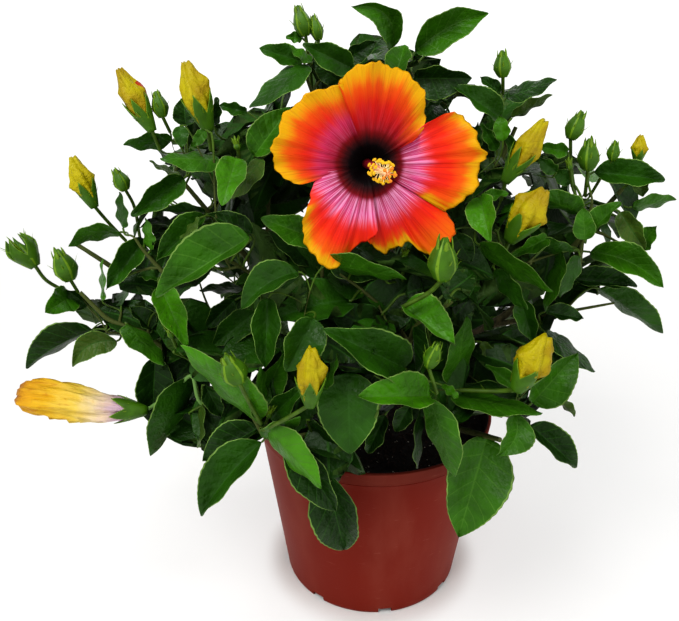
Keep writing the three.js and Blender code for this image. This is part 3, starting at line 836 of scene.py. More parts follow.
class FrontScreen:
    """What may stand in each cell of the main view, and how near things there are."""

    def __init__(self):
        self.near = np.full(cell_middles(CELL).shape[:2], NOTHING_NEAR)
        middles = cell_middles(SKY_CELL)
        dots = middles.reshape(-1, 2)
        sky = ~inside(dots, CROWN_EDGE)
        for across, down, size in GAPS:
            sky |= np.hypot(dots[:, 0] - across, dots[:, 1] - down) < size
        self.sky = sky.reshape(middles.shape[:2])

    def look(self, places):
        """For each place: whether it is in the sky, its depth, and the nearest there."""
        dots, depth = seen(places)
        sky = self.sky[cell_of(dots, SKY_CELL, self.sky)]
        return sky, depth, self.near[cell_of(dots, CELL, self.near)]

    def cover(self, places):
        dots, depth = seen(places)
        np.minimum.at(self.near, cell_of(dots, CELL, self.near), depth)

    def troubles(self, places):
        """Which places hide a leading thing, the sky ones, and what is near."""
        sky, depth, near = self.look(places)
        return (near < NOTHING_NEAR) & (depth < near - DEPTH_SLACK), sky, near

    def faults(self, places):
        """How many places hide a leading thing or are in open sky."""
        hides, sky, near = self.troubles(places)
        return int((hides | (sky & (near == NOTHING_NEAR))).sum())

    def clear(self, places):
        """Whether a leaf hides nothing and keeps off the open sky."""
        hides, sky, _ = self.troubles(places)
        return not (hides | sky).any()


def scattered_tips(name, rng, count):
    """Shoot tips spread through a mass, mostly in its outer part."""
    middle, half = mass_room(name)
    outward = unit(middle - CROWN_CENTRE)
    chosen = []
    while len(chosen) < count:
        trials = []
        while len(trials) < TIP_TRIALS:
            way = random_way(rng)
            if way @ outward > -0.6:
                trials.append(middle + way * half * rng.uniform(*TIP_SHARES))
        spacing = [min([norm(trial - tip) for tip in chosen], default=1) for trial in trials]
        chosen.append(trials[int(np.argmax(spacing))])
    return sorted(chosen, key=lambda tip: float(norm(tip - middle)))


def shoot_leaves(wood, tip_way, mass, rng, tones, fits):
    """Leaves round a shoot by the golden angle, and how far back the first springs."""
    points = wood[0][::-1]
    back_along = lengthwise(points)
    side = square_to(tip_way, np.array([0.31, 0.42, 0.85]))
    other = np.cross(tip_way, side)
    turn = rng.uniform(0, 6.28)
    leaves = []
    springs = []
    for number, grown_length in enumerate(SHOOT_LEAVES):
        distance = (2 + 10 * number + rng.uniform(-2, 2)) * MM
        distance = min(distance, back_along[-1] * rng.uniform(0.5, 1))
        node = at_knot(distance, back_along, points)
        tone = rng.choice(tones[:2] if number < 2 else tones[1:])
        for _ in range(LEAF_TRIES):
            angle = turn + GOLDEN_ANGLE * number + rng.uniform(-0.5, 0.5)
            ring = side * cos(angle) + other * sin(angle)
            spread = radians(28 + 10 * number + rng.uniform(-14, 14))
            way = unit(tip_way * cos(spread) + ring * sin(spread))
            stalk_length = (5 + 4 * number + rng.uniform(0, 6)) * MM
            along = unit(way - UPRIGHT * rng.uniform(0.05, 0.65))
            base = node + (way * 0.8 + UPRIGHT * 0.05) * stalk_length
            length = (grown_length + rng.uniform(-6, 6)) * MM
            face = UPRIGHT * 0.8 + tip_way * 0.5 + unit(base - CROWN_CENTRE) * 0.5
            leaf = own_leaf(base, along, face, length, mass, tone, rng)
            if leaf and fits(leaf):
                leaf.stalk = arc(node, way * stalk_length * 0.4, base, along * stalk_length * 0.3, 6)
                leaves.append(leaf)
                springs.append(distance)
                break
    return leaves, min(springs, default=0)


def trimmed(wood, cut):
    points, radii = wood
    keep = max(3, int(round(len(points) * (1 - cut / lengthwise(points)[-1]))))
    return points[:keep], radii[:keep]


def clear_of_pot(places):
    reach = np.hypot(places[:, 0], places[:, 1])
    low = places[:, 2] < (POT["height"] + 4) * MM
    return not (low & (reach < (POT["shoulder"] + 7) * MM)).any()


def leaf_cells(leaf):
    """The cells of space that a blade runs through."""
    cells = np.floor(leaf_probe(leaf, *ROOM_PROBE) / ROOM_CELL).astype(int)
    return set(map(tuple, cells.tolist()))


def leaf_probe(leaf, row_count, column_count):
    """Places all over a leaf."""
    rows = np.linspace(0.05, 0.96, row_count)
    columns = np.linspace(1, -1, column_count)
    points, _ = blade_places(leaf, rows, columns, np.ones(row_count), 0)
    ends = np.array([leaf.base, leaf.base + leaf.along * leaf.length])
    return np.vstack([points.reshape(-1, 3), ends])


def leaf_middles(leaves):
    """Two places on each leaf's midrib."""
    return [leaf.base + leaf.along * leaf.length * share for leaf in leaves for share in (0.3, 0.65)]


class Grower:
    """Grows the shrub: leading things, then shoots, then leaves that close the crown."""

    def __init__(self):
        self.rng = random.Random(SEED)
        self.limbs = limb_routes()
        self.skeleton = Skeleton()
        self.screen = FrontScreen()
        self.woods = []
        self.stalks = []
        self.leaves = [leading_leaf(i, row[:9], *row[9:]) for i, row in enumerate(LEADING_LEAVES)]
        self.buds = [leading_bud(*row) for row in BUDS]
        self.own = []
        self.taken = set()
        self.shoot_ends = []
        for points, radii in self.limbs.values():
            self.skeleton.add(points[2:], radii[2:])

    def fits(self, leaf, shared=SHARED_ROOM):
        places = leaf_probe(leaf, *FIT_PROBE)
        if not (clear_of_pot(places) and self.screen.clear(places)):
            return False
        cells = leaf_cells(leaf)
        return len(cells & self.taken) <= shared * len(cells)

    def keep(self, leaf):
        self.own.append(leaf)
        self.taken |= leaf_cells(leaf)

    def route(self, end, arrival, spare):
        return twig_to(self.skeleton, end, arrival, spare, self.screen)

    def add_twig(self, wood, stalk=None):
        if wood:
            self.woods.append(wood)
            self.skeleton.add(wood[0][1:], wood[1][1:])
        if stalk:
            self.stalks.append(stalk)

    def lead(self):
        """Marks what leads at the front, and grows the stems that show there."""
        for leaf in self.leaves:
            self.screen.cover(leaf_probe(leaf, *LEADING_PROBE))
            self.taken |= leaf_cells(leaf)
        for bud in self.buds:
            self.screen.cover(bud.base + share_of(9)[:, None] * (bud.tip - bud.base))
        self.screen.cover(bloom_cover())
        for out, thickness, *dots in LEADING_TWIGS:
            places = [sight(each, out) for each in in_pairs(dots)]
            route = smooth_route(places, 6 * len(places))
            self.add_twig(*self.route(route[0], unit(route[1] - route[0]), 0)[:2])
            radii = np.linspace(thickness / 2, thickness / 2 * 0.6, len(route)) * MM
            points, widths = self.woods[-1]
            self.woods[-1] = (points, np.maximum(widths, radii[0]))
            self.woods.append((route, radii))
            self.skeleton.add(route, radii)
            self.screen.cover(route)

    def grow_shoots(self):
        for name in MASSES:
            for tip in scattered_tips(name, self.rng, SHOOTS_PER_MASS):
                start, _, _ = next(self.skeleton.starts(tip))
                tip_way = unit(unit(tip - start) + UPRIGHT * 0.5 + unit(tip - CROWN_CENTRE) * 0.7)
                wood, _, faults = self.route(tip, tip_way, 0)
                if wood is None or faults > MOST_FAULTS:
                    continue
                tones = SHADED_TONES if MASSES[name][1] < FRONT else self.rng.choice(SPRAY_TONES)
                kept, first = shoot_leaves(wood, tip_way, name, self.rng, tones, self.fits)
                if len(kept) < 2:
                    continue
                wood = trimmed(wood, first)
                self.add_twig(wood)
                for leaf in kept:
                    self.keep(leaf)
                radii = np.linspace(1.15, 1.0, 6) * PETIOLE["radius"] * MM
                self.stalks.extend((leaf.stalk, radii) for leaf in kept)
                if first < 6 * MM:
                    self.shoot_ends.append((wood[0][-1], tip_way, name))

    def carry_leading(self):
        """Twigs and stalks for the leading leaves and buds."""
        for leaf in sorted(self.leaves, key=lambda each: float(norm(each.base - STEM_TOP))):
            drooping = leaf.base[2] < (POT["height"] + 15) * MM
            spare = PETIOLE["drooping" if drooping else "leading"] * MM
            self.add_twig(*self.route(leaf.base, unit(leaf.along + UPRIGHT * 0.3), spare)[:2])
        for bud in self.buds:
            self.stalks.append((bud.stalk, np.full(len(bud.stalk), bud.stalk_radius)))
            arrival = unit(bud.stalk[1] - bud.stalk[0])
            self.add_twig(*self.route(bud.stalk[0], arrival, 8 * MM)[:2])
        self.buds.extend(far_buds(self.shoot_ends, self.rng, self.screen))

    def hang(self, leaf):
        """Keeps a leaf if a twig can reach it that hides nothing."""
        arrival = unit(leaf.along + UPRIGHT * 0.4)
        wood, stalk, faults = self.route(leaf.base, arrival, PETIOLE["own"] * MM)
        if faults > MOST_FAULTS:
            return False
        self.keep(leaf)
        self.add_twig(wood, stalk)
        return True

    def trial_leaf(self, target, outward, mass, tone, room=SHOOT_ROOM, shared=SHARED_ROOM):
        """A leaf hung over a target place that looks outward, or none."""
        rng = self.rng
        for number in range(LEAF_TRIES):
            tangent = square_to(outward, random_way(rng))
            lean = outward * rng.uniform(-0.1, 0.5)
            along = unit(tangent + lean - UPRIGHT * rng.uniform(0.1, 0.7))
            length = (SHEATH_LEAF - SHEATH_DROP * number / LEAF_TRIES + rng.uniform(-4, 4)) * MM
            base = target - along * length * 0.45
            leaf = own_leaf(base, along, outward + UPRIGHT * 0.5, length, mass, tone, rng, room)
            if leaf and off_middle(base, mass) < room and self.fits(leaf, shared):
                return leaf if self.hang(leaf) else None
        return None

    def sheathe(self):
        """Leaves over the outside of every mass, wherever none is near."""
        middles = leaf_middles(self.leaves + self.own)
        for name in MASSES:
            middle, half = mass_room(name)
            for number in range(SHEATH["spots"]):
                height = 1 - 2 * (number + 0.5) / SHEATH["spots"]
                turn = GOLDEN_ANGLE * number
                flat = sqrt(1 - height**2)
                way = np.array([flat * cos(turn), flat * sin(turn), height])
                target = middle + way * half * SHEATH["depth"]
                crowded = norm(np.array(middles) - target, axis=1).min() < SHEATH["spacing"]
                buried = any(off_middle(target, each) < 0.7 for each in MASSES if each != name)
                if crowded or buried:
                    continue
                tone = self.rng.choice(SHADED_TONES if MASSES[name][1] < FRONT else SPRAY_TONES[0])
                leaf = self.trial_leaf(target, unit(way / half), name, tone)
                if leaf:
                    middles.extend(leaf_middles([leaf]))

    def fill(self):
        """Shaded leaves wherever a hole shows in the main view."""
        whole = FrontScreen()
        whole.near = self.screen.near.copy()
        for leaf in self.own:
            whole.cover(leaf_probe(leaf, *COVER_PROBE))
        spots = [tuple(dots) for dots in cell_middles(CELL).reshape(-1, 2)]
        self.rng.shuffle(spots)
        for dots in spots:
            sky, _, near = whole.look(np.array([sight(dots, 0)]))
            if sky[0] or near[0] < NOTHING_NEAR:
                continue
            for out in HOLE_DEPTHS:
                target = sight(dots, out)
                mass = nearest_mass(target)
                if off_middle(target, mass) > HOLE_ROOM * 0.9:
                    continue
                outward = unit(EYE - target + (UPRIGHT * 0.3 + random_way(self.rng) * 0.25))
                tone = self.rng.choice(SHADED_TONES)
                leaf = self.trial_leaf(target, outward, mass, tone, HOLE_ROOM, HOLE_SHARED_ROOM)
                if leaf:
                    whole.cover(leaf_probe(leaf, *COVER_PROBE))
                    break


@lru_cache(maxsize=None)
def shrub_plan():
    """The whole shrub, grown once for every operator."""
    grower = Grower()
    grower.lead()
    grower.grow_shoots()
    grower.carry_leading()
    grower.sheathe()
    grower.fill()
    return grower


def leading_bud(kind, tip_across, tip_down, base_across, base_down, breadth, out, *stalk_dots):
    tip = sight((tip_across, tip_down), out)
    base = sight((base_across, base_down), out)
    inner = [sight(dots, out + 8 * (step + 1)) for step, dots in enumerate(in_pairs(stalk_dots))]
    ends = [base + (tip - base) * 0.04, *inner]
    return SimpleNamespace(
        kind=kind, tip=tip, base=base, radius=breadth / 2 * dot_size(base),
        stalk=smooth_route(ends[::-1], 4 + 5 * len(inner)), stalk_radius=(0.9 + 0.02 * breadth) * MM,
    )


def far_buds(shoot_ends, rng, screen):
    """Buds round the sides and back, out of the main view."""
    made = []
    for tip, way, name in shoot_ends:
        if rng.random() > (FAR_SHARE if MASSES[name][1] > FAR_FROM else NEAR_SHARE):
            continue
        kind = "yellow" if rng.random() < YELLOW_SHARE else "green"
        shortest, longest, half = FAR_BUDS[kind]
        bud_way = unit(way + UPRIGHT * 0.4)
        base = tip + bud_way * FAR_GAP
        end = base + bud_way * (rng.uniform(shortest, longest) * MM)
        _, depth, near = screen.look(np.array([base, (base + end) / 2, end]))
        if off_middle(end, name) <= FAR_ROOM and (depth >= near + FAR_SLACK).all():
            made.append(SimpleNamespace(kind=kind, tip=end, base=base, radius=half * MM))
    return made


# ---- blades

BLADE_THICKNESS = 0.35 * MM
RIPPLE = 1.0 * MM
VEINS = (0.05, 0.17, 0.3, 0.43, 0.56, 0.69, 0.81)
VEIN_HALF = 0.005
VEIN_LEAN = 0.24
LEADING_COLUMNS = (1, 0.945, 0.7, 0.36, 0.03, -0.03, -0.36, -0.7, -0.945, -1)
RULE_ROWS = (0.04, 0.15, 0.27, 0.39, 0.51, 0.63, 0.75, 0.86, 0.95)
RULE_COLUMNS = (1, 0.93, 0.055, -0.055, -0.93, -1)
BLADE_PEAK = 0.382
LEAF_TONES = ("bright", "mid", "deep", "dark", "olive")
LEAF_SLOTS = (*LEAF_TONES, "pale_vein", "dull_vein", "margin", "underside")


def blade_places(leaf, rows, columns, teeth, puffs):
    """Places and outward directions over a blade, row by row."""
    share = rows[:, None]
    across = columns[None, :]
    side = np.abs(across)
    slid = np.clip(share + VEIN_LEAN * side * np.sin(pi * share), 0, 0.999)
    breadth = slid**0.55 * (1 - slid) ** 0.9 / BLADE_PEAK
    outer = np.where(side > 0.9, teeth[:, None], 1.0)
    reach = leaf.half * breadth * side * outer
    left = np.cross(leaf.face, leaf.along)
    lift = np.where(across > 0, *leaf.lifts) * np.where(side < 0.01, 0, 1)
    hand = np.sign(across)
    way = (np.cos(lift) * hand)[..., None] * left + np.sin(lift)[..., None] * leaf.face
    outward = np.cos(lift)[..., None] * leaf.face - (np.sin(lift) * hand)[..., None] * left
    spine = rib_places(leaf, slid)
    wave = RIPPLE * np.sin(leaf.phase + 15 * slid) * side
    puff = np.asarray(puffs)
    swell = (puff[:, None] if puff.ndim else puff) * 4 * side * (1 - side)
    return spine + way * reach[..., None] + outward * (wave + swell)[..., None], outward + 0 * spine


def rib_places(leaf, share):
    share = np.asarray(share)[..., None]
    left = np.cross(leaf.face, leaf.along)
    bend = leaf.arch * np.sin(pi * share) - leaf.droop * share**3
    bow = left * leaf.bow * 4 * share * (1 - share)
    return leaf.base + leaf.along * leaf.length * share + bow + leaf.face * leaf.length * bend


@lru_cache(maxsize=None)
def blade_pattern(row_count, column_count, back_count):
    """Faces of a two-sided blade, and the side, row and column that each lies in."""
    front = np.arange(row_count * column_count).reshape(row_count, column_count)
    base = row_count * column_count
    inner = np.arange(row_count * back_count).reshape(row_count, back_count) + base + 2
    back = np.hstack([front[:, :1], inner, front[:, -1:]])
    faces = []
    lies = []
    for side, grid in (("front", front), ("back", back)):
        rows = grid.tolist()
        for column in range(len(rows[0]) - 1):
            strip = [(base, rows[0][column + 1], rows[0][column])]
            for low, high in zip(rows, rows[1:]):
                strip.append((low[column], low[column + 1], high[column + 1], high[column]))
            strip.append((rows[-1][column], rows[-1][column + 1], base + 1))
            if side == "back":
                strip = [face[::-1] for face in strip]
            faces.extend(strip)
            lies.extend((side, row, column) for row in range(len(strip)))
    return faces, lies


def veined_rows():
    """Rows of a leading blade: shares, teeth, swellings and where veins start."""
    rows = []
    stops = (0.0, *VEINS, 1.0)
    for low, high in zip(stops, stops[1:]):
        if low:
            rows.append((low - VEIN_HALF, 1.015, 0.0, True))
            rows.append((low + VEIN_HALF, 1.015, 0.0, False))
        for step, tooth in ((0.26, 0.985), (0.5, 1.012), (0.76, 0.985)):
            rows.append((low + (high - low) * step, tooth, sin(pi * step), False))
    return map(np.array, zip(*rows))


def add_leaf(assembly, leaf, leading):
    """A two-sided blade. A leading one has its side veins too."""
    if leading:
        shares, teeth, swellings, starts = veined_rows()
        columns = np.array(LEADING_COLUMNS)
        puffs = swellings * 0.45 * MM * min(1.0, leaf.half / (18 * MM))
        points, outward = blade_places(leaf, shares, columns, teeth, puffs)
        back = (points - outward * BLADE_THICKNESS)[:, 1:-1]
    else:
        shares = np.array(RULE_ROWS)
        teeth = np.where(np.arange(len(shares)) % 2, 0.98, 1.02)
        starts = shares < 0
        columns = np.array(RULE_COLUMNS)
        points, _ = blade_places(leaf, shares, columns, teeth, 0)
        spine, outward = blade_places(leaf, shares, np.array([0.0]), teeth, 0)
        back = spine - outward * 1.4 * BLADE_THICKNESS
    ends = rib_places(leaf, [0.0, 1.0])
    faces, lies = blade_pattern(len(shares), len(columns), back.shape[1])
    last = len(columns) - 2
    # Painted light and shade: lit tones take the pale veins, shaded tones the dull ones.
    lit = leaf.tone in ("bright", "mid")
    rib = "pale_vein" if lit else "dull_vein"
    # Painted highlight: lit and leading leaves keep a pale margin that stands for light caught along the
    # edge; other leaves take the vein tone there.
    edge = "margin" if lit or leading else rib
    slots = []
    for side, row, column in lies:
        name = leaf.tone
        if side == "back":
            name = "underside"
        elif column in (0, last):
            name = edge
        elif column == last // 2 or (0 < row <= len(starts) and starts[row - 1]):
            name = rib
        slots.append(LEAF_SLOTS.index(name))
    assembly.add(np.vstack([points.reshape(-1, 3), ends, back.reshape(-1, 3)]), faces, slots)


# ---- buds

BUD_FINISHES = ("yellow", "flush", "calyx", "calyx_tip")
CUP_CORNERS = 40
SEPAL_CORNERS = 30
# Flaps that stand out of a furled bud: how far round, how far up and how proud.
BUD_FLAPS = ((0.6, 0.62, 0.42), (2.5, 0.5, 0.3), (4.1, 0.7, 0.32), (5.3, 0.56, 0.25), (3.3, 0.84, 0.3))
# How a furled bud swells from its base to its tip, as shares of its length and breadth.
BUD_HEIGHTS = (0, 0.12, 0.28, 0.45, 0.58, 0.68, 0.8, 0.92, 0.98, 1)
BUD_BREADTHS = (0.3, 0.5, 0.72, 0.94, 1, 0.9, 0.68, 0.46, 0.36, 0.2)
FURLED_LEVELS = (
    0.1, 0.2, 0.3, 0.38, 0.45, 0.51, 0.56, 0.61, 0.66, 0.71, 0.76, 0.81, 0.86, 0.91, 0.95, 0.985,
)


def frame_across(way):
    """Two directions square to a way and to each other."""
    helper = UPRIGHT if abs(way[2]) < 0.9 else RIGHT
    side = unit(np.cross(way, helper))
    return side, np.cross(way, side)


def corner_angles(count):
    return np.arange(count) * 2 * pi / count


def around(count, side, other):
    """Directions all round, from one way towards another."""
    angles = corner_angles(count)
    return np.cos(angles)[:, None] * side + np.sin(angles)[:, None] * other


def skin_places(base, way, rings):
    """A closed skin round a way: rings are (heights, radii) for each corner."""
    circle = around(len(rings[0][0]), *frame_across(way))
    places = [base + way * rings[0][0].mean()]
    for heights, radii in rings:
        places.extend(base + way * heights[:, None] + circle * radii[:, None])
    places.append(base + way * rings[-1][0].mean())
    return np.array(places)


def add_skin(assembly, base, way, rings, slots):
    """A closed skin, with a slot for each level of each corner."""
    corners = len(rings[0][0])
    faces = tube_faces(len(rings), corners)
    slots = [int(slots(corner, level)) for corner in range(corners) for level in range(len(rings) + 1)]
    assembly.add(skin_places(base, way, rings), faces, slots)


def bud_breadth(shares):
    return np.interp(shares, BUD_HEIGHTS, BUD_BREADTHS)


def bud_line(bud):
    """A bud's length and the way that it points."""
    length = float(norm(bud.tip - bud.base))
    return length, (bud.tip - bud.base) / length


def turned_from(angles, middle):
    """How far round each angle is from a middle one, to half a turn."""
    return (angles - middle + pi) % (2 * pi) - pi


def add_furled_petals(assembly, bud):
    """Crumpled petals wound to a blunt tip, with a few flaps standing out."""
    angles = corner_angles(CUP_CORNERS)
    length, way = bud_line(bud)
    phase = bud.radius * 3000 + bud.tip[0] * 90
    rings = []
    for share in FURLED_LEVELS:
        wound = angles + 1.3 * share
        crumple = 0.1 * np.sin(5 * wound + phase) + 0.08 * np.sin(8 * wound - 5 * share - phase)
        crumple = crumple + 0.05 * np.sin(13 * wound + 9 * share + 2 * phase)
        for round_to, up_to, proud in BUD_FLAPS:
            apart = turned_from(angles - round_to, phase)
            flap = np.exp(-((apart / 0.26) ** 2) - ((share - up_to) / 0.07) ** 2)
            crumple = crumple + proud * flap
        ends = share * length * (1 + 0.03 * np.sin(3 * angles + phase))
        rings.append((ends, bud.radius * bud_breadth(share) * (0.9 + crumple)))
    flushed = np.abs(turned_from(angles - BUD_FLAPS[0][0], phase) - 0.1) < 0.2

    def tone(corner, level):
        in_band = 0.5 < FURLED_LEVELS[max(level - 1, 0)] < 0.72
        return bud.kind == "flushed" and in_band and flushed[corner]

    add_skin(assembly, bud.base, way, rings, tone)


def add_calyx_cup(assembly, base, way, heights, radii, notch):
    """A green cup as wide as radii at each height, with five pale-edged pointed lobes."""
    angles = corner_angles(CUP_CORNERS)
    peak = 1 - np.abs(((angles * 5 / (2 * pi)) % 1.0) - 0.5) * 2
    rim = heights[-1] * (notch + (1 - notch) * peak**1.2)
    rings = []
    for share in (0.02, 0.12, 0.3, 0.5, 0.7, 0.86, 0.95, 1.0):
        level = rim * share
        keel = 1 + 0.05 * np.cos(5 * angles + pi) * share
        rings.append((level, np.interp(level, heights, radii) * keel))
    rings.append((rim * 0.99, rings[-1][1] - 0.5 * MM))
    rings.append((rim * 0.4, np.interp(rim * 0.4, heights, radii) * 0.5))
    add_skin(assembly, base, way, rings, lambda corner, level: 3 if level in (7, 8) else 2)


def add_bud_cup(assembly, bud, way, length, top, notch):
    """A calyx cup a little wider than the petals that it holds."""
    levels = np.linspace(0, top, 9)
    widths = bud.radius * bud_breadth(levels) * 1.02 + 0.3 * MM
    add_calyx_cup(assembly, bud.base, way, levels * length, widths, notch)


def add_bracts(assembly, base, way, count, length, breadth, ring, spread=0.45):
    """Narrow pointed bracts in a ring, which curve outward."""
    side, other = frame_across(way)
    for number in range(count):
        angle = number * 2 * pi / count + length * 900
        outward = side * cos(angle) + other * sin(angle)
        reach = length * (0.8 + 0.35 * ((number * 0.618) % 1.0))
        foot = base + outward * ring
        flank = unit(np.cross(way, outward))
        places = [foot]
        for share, wide in ((0.15, 0.6), (0.4, 1.0), (0.7, 0.8), (0.9, 0.4)):
            swing = outward * reach * spread * (0.4 * share + 0.6 * share**3)
            centre = foot + way * reach * share + swing
            half = breadth * wide / 2
            for across, deep in ((1, 0), (0, -0.3), (-1, 0), (0, 0.3)):
                places.append(centre + flank * half * across + outward * half * deep)
        places.append(foot + way * reach + outward * reach * spread)
        assembly.add(np.array(places), tube_faces(4, 4), [3] * 20)


def add_green_bud(assembly, bud, length_share=1.0, radius_share=1.0):
    """Five sepals that meet in raised seams, pointed at the tip."""
    angles = corner_angles(SEPAL_CORNERS)
    length, way = bud_line(bud)
    length *= length_share
    shares = np.array([0.02, 0.1, 0.2, 0.32, 0.45, 0.58, 0.7, 0.8, 0.89, 0.96])
    profile = np.interp(shares, [0, 0.1, 0.32, 0.5, 0.7, 0.86, 1], [0.36, 0.66, 1, 0.95, 0.66, 0.34, 0.08])
    seam = 1 - np.abs(np.sin(2.5 * angles))
    rings = []
    for share, size in zip(shares, profile):
        ridge = 0.95 + (0.06 + 0.12 * share) * seam**2 - 0.06 * np.cos(10 * angles) * share
        width = bud.radius * radius_share * size * ridge
        rings.append((np.full(SEPAL_CORNERS, share * length), width))
    add_skin(assembly, bud.base, way, rings, lambda corner, level: 3 if seam[corner] > 0.9 else 2)


def add_bud(assembly, bud):
    length, way = bud_line(bud)
    radius = bud.radius
    if bud.kind in ("yellow", "flushed"):
        add_furled_petals(assembly, bud)
        add_bud_cup(assembly, bud, way, length, 0.56, 0.5)
        add_bracts(assembly, bud.base, way, 8, 0.36 * length, 1.9 * MM, radius * 0.3)
    elif bud.kind == "green":
        add_green_bud(assembly, bud)
        add_bracts(assembly, bud.base, way, 7, 0.6 * length, 2.0 * MM, radius * 0.5)
        crown = bud.base + way * length * 0.62
        add_bracts(assembly, crown, way, 5, 0.38 * length, 0.4 * radius, radius * 0.55, -0.1)
    elif bud.kind == "split":
        add_green_bud(assembly, bud, 0.7, 0.7)
        add_bud_cup(assembly, bud, way, length, 0.9, 0.4)
        add_bracts(assembly, bud.base, way, 7, 0.9 * length, 2.4 * MM, radius * 0.3)
    else:
        add_green_bud(assembly, bud, 0.6, 0.45)
        add_bracts(assembly, bud.base, way, 8, length * 0.85, 2.9 * MM, radius * 0.15, 0.3)


# ---- open flower

# Each petal: how far it stands in front, the breadth of its yellow margin, its shares of
# pink and of pale rays, then for its two sides how far the margin runs in along each and
# the share of the petal beside it that has no margin, and its outline in the view,
# anticlockwise round the throat from edge to edge.
PETALS = {
    "petal_right": (
        1.2, 7.0, 1.0, 0.6, (1, 0), (0, 0.22),
        (446,213, 459,203, 471,194, 478,182, 482,163, 489,154, 476,142, 475,128, 465,118,
         454,111, 441,115, 426,123),
    ),
    "petal_top": (
        3.0, 11.0, 0.0, 0.03, (0.75, 0), (0.1, 0.04),
        (411,142, 422,133, 426,120, 426,102, 421,87, 410,75, 396,67, 384,64, 373,61, 357,66,
         343,76, 338,84),
    ),
    "petal_left": (
        0.0, 10.0, 0.45, 0.1, (0.5, 0.3), (0, 0.12),
        (352,84, 333,86, 313,91, 297,102, 283,116, 276,136, 271,151, 274,166, 284,179,
         299,184, 313,182),
    ),
    "petal_lower_left": (
        2.4, 7.0, 1.0, 0.7, (0.3, 0), (0, 0.27),
        (328,172, 315,182, 310,198, 305,213, 302,229, 304,241, 311,254, 321,264, 336,269,
         346,257, 356,247, 367,241, 378,230),
    ),
    "petal_lower_right": (
        -0.4, 5.0, 0.9, 0.8, (0.45, 0), (0.06, 0.3),
        (367,240, 373,247, 387,255, 398,246, 408,241, 422,252, 434,259, 445,247, 455,234,
         454,222, 444,209),
    ),
}
THROAT = np.array(FLOWER["throat"]) * MM
FLOWER_TURN = radians(FLOWER["turn"])
FLOWER_RISE = radians(FLOWER["rise"])
FLOWER_WAY = np.array(
    [sin(FLOWER_TURN) * cos(FLOWER_RISE), -cos(FLOWER_TURN) * cos(FLOWER_RISE), sin(FLOWER_RISE)]
)
FLOWER_RIGHT = unit(np.cross(UPRIGHT, FLOWER_WAY))
FLOWER_UP = np.cross(FLOWER_WAY, FLOWER_RIGHT)
FUNNEL = {"depth": 18, "radius": 15}
# The petals flare forward: how far, at what reach from the throat.
FLARE = {"forward": 8, "reach": 70}
PETAL_THICKNESS = 0.7 * MM
# Where a petal's points lie from its throat to its margin and from edge to edge.
PETAL_ROWS = np.concatenate([np.linspace(0.02, 0.8, 26), np.linspace(0.825, 1, 9)])
PETAL_COLUMNS = np.concatenate(
    [np.linspace(0, 0.04, 4)[:-1], np.linspace(0.04, 0.96, 57), np.linspace(0.96, 1, 4)[1:]]
)
BLOOM_PROBES = 34
COLUMN_TIP = ((388, 174), -160)
COLUMN_DEPTH, COLUMN_PULL = 15 * MM, 14 * MM
COLUMN_POINTS, COLUMN_CORNERS = 40, 20


def flare(reach):
    return FLARE["forward"] * (reach / FLARE["reach"]) ** 2


def bloom_cover():
    """Places all over the open bloom."""
    rows, columns = np.linspace(0.1, 0.99, BLOOM_PROBES), share_of(BLOOM_PROBES)
    return np.vstack([petal_places(name, rows, columns)[0].reshape(-1, 3) for name in PETALS])


def petal_edge(name):
    """A petal's outline round the throat: angles and reaches."""
    front = PETALS[name][0]
    angles = []
    reaches = []
    for dots in in_pairs(PETALS[name][-1]):
        ray = sight(dots, FLOWER["throat"][1]) - EYE
        spot = THROAT
        for _ in range(3):
            stand = THROAT + FLOWER_WAY * (flare(norm(spot - THROAT) / MM) + front) * MM
            spot = EYE + ray * ((stand - EYE) @ FLOWER_WAY) / (ray @ FLOWER_WAY)
        flat = spot - stand
        angles.append(atan2(flat @ FLOWER_UP, flat @ FLOWER_RIGHT))
        reaches.append(norm(flat) / MM)
    return np.unwrap(angles), np.array(reaches)


def petal_places(name, rows, columns):
    """Places over a petal, their distance from throat and margin, and their angle."""
    front, _, _, _, *sides, _ = PETALS[name]
    edge_angles, edge_reaches = petal_edge(name)
    stations = share_of(len(edge_angles))
    share = rows[:, None]
    round_to = columns[None, :]
    angle = np.interp(columns, stations, edge_angles)[None, :]
    limit = np.interp(columns, stations, edge_reaches)[None, :]
    phase = float(edge_angles[0]) * 3
    frill = 0.9 * np.sin(38 * round_to + phase) + 0.6 * np.sin(91 * round_to + 2 * phase)
    limit = limit + frill * np.sin(pi * round_to) ** 0.4
    reach = share * limit
    near = np.clip(1 - reach / FUNNEL["radius"], 0, 1)
    deep = -FUNNEL["depth"] * near**1.7 + flare(reach) + front * np.clip(reach / 20, 0, 1)
    ruffle = 2.6 * share**4 * np.sin(17 * round_to + phase)
    ruffle = ruffle + 1.3 * share**8 * np.sin(43 * round_to + phase)
    hump = 2.2 * np.sin(pi * round_to) * share * (1 - share**3)
    pleat = 0.45 * np.sin(56 * round_to + phase) * np.clip((share - 0.2) * 4, 0, 1) * (1 - share**6)
    deep = deep + ruffle + pleat + hump
    flat = np.cos(angle)[..., None] * FLOWER_RIGHT + np.sin(angle)[..., None] * FLOWER_UP
    places = THROAT + (flat * reach[..., None] + FLOWER_WAY * deep[..., None]) * MM
    span = abs(edge_angles[-1] - edge_angles[0])
    short = 100 * np.clip(0.72 - limit / edge_reaches.max(), 0, 1)
    rim = limit * (1 - share) + short
    for from_side, kept, bare in zip((round_to, 1 - round_to), *sides):
        rim = rim + 14 * np.clip((bare - from_side) * 16, 0, 1)
        inward = from_side * span * reach * 1.5 + 100 * np.clip(1 - 0.3 * kept - share, 0, 1)
        rim = np.minimum(rim, inward + 60 * (kept == 0) + short)
    return places, reach, rim, angle + 0 * reach


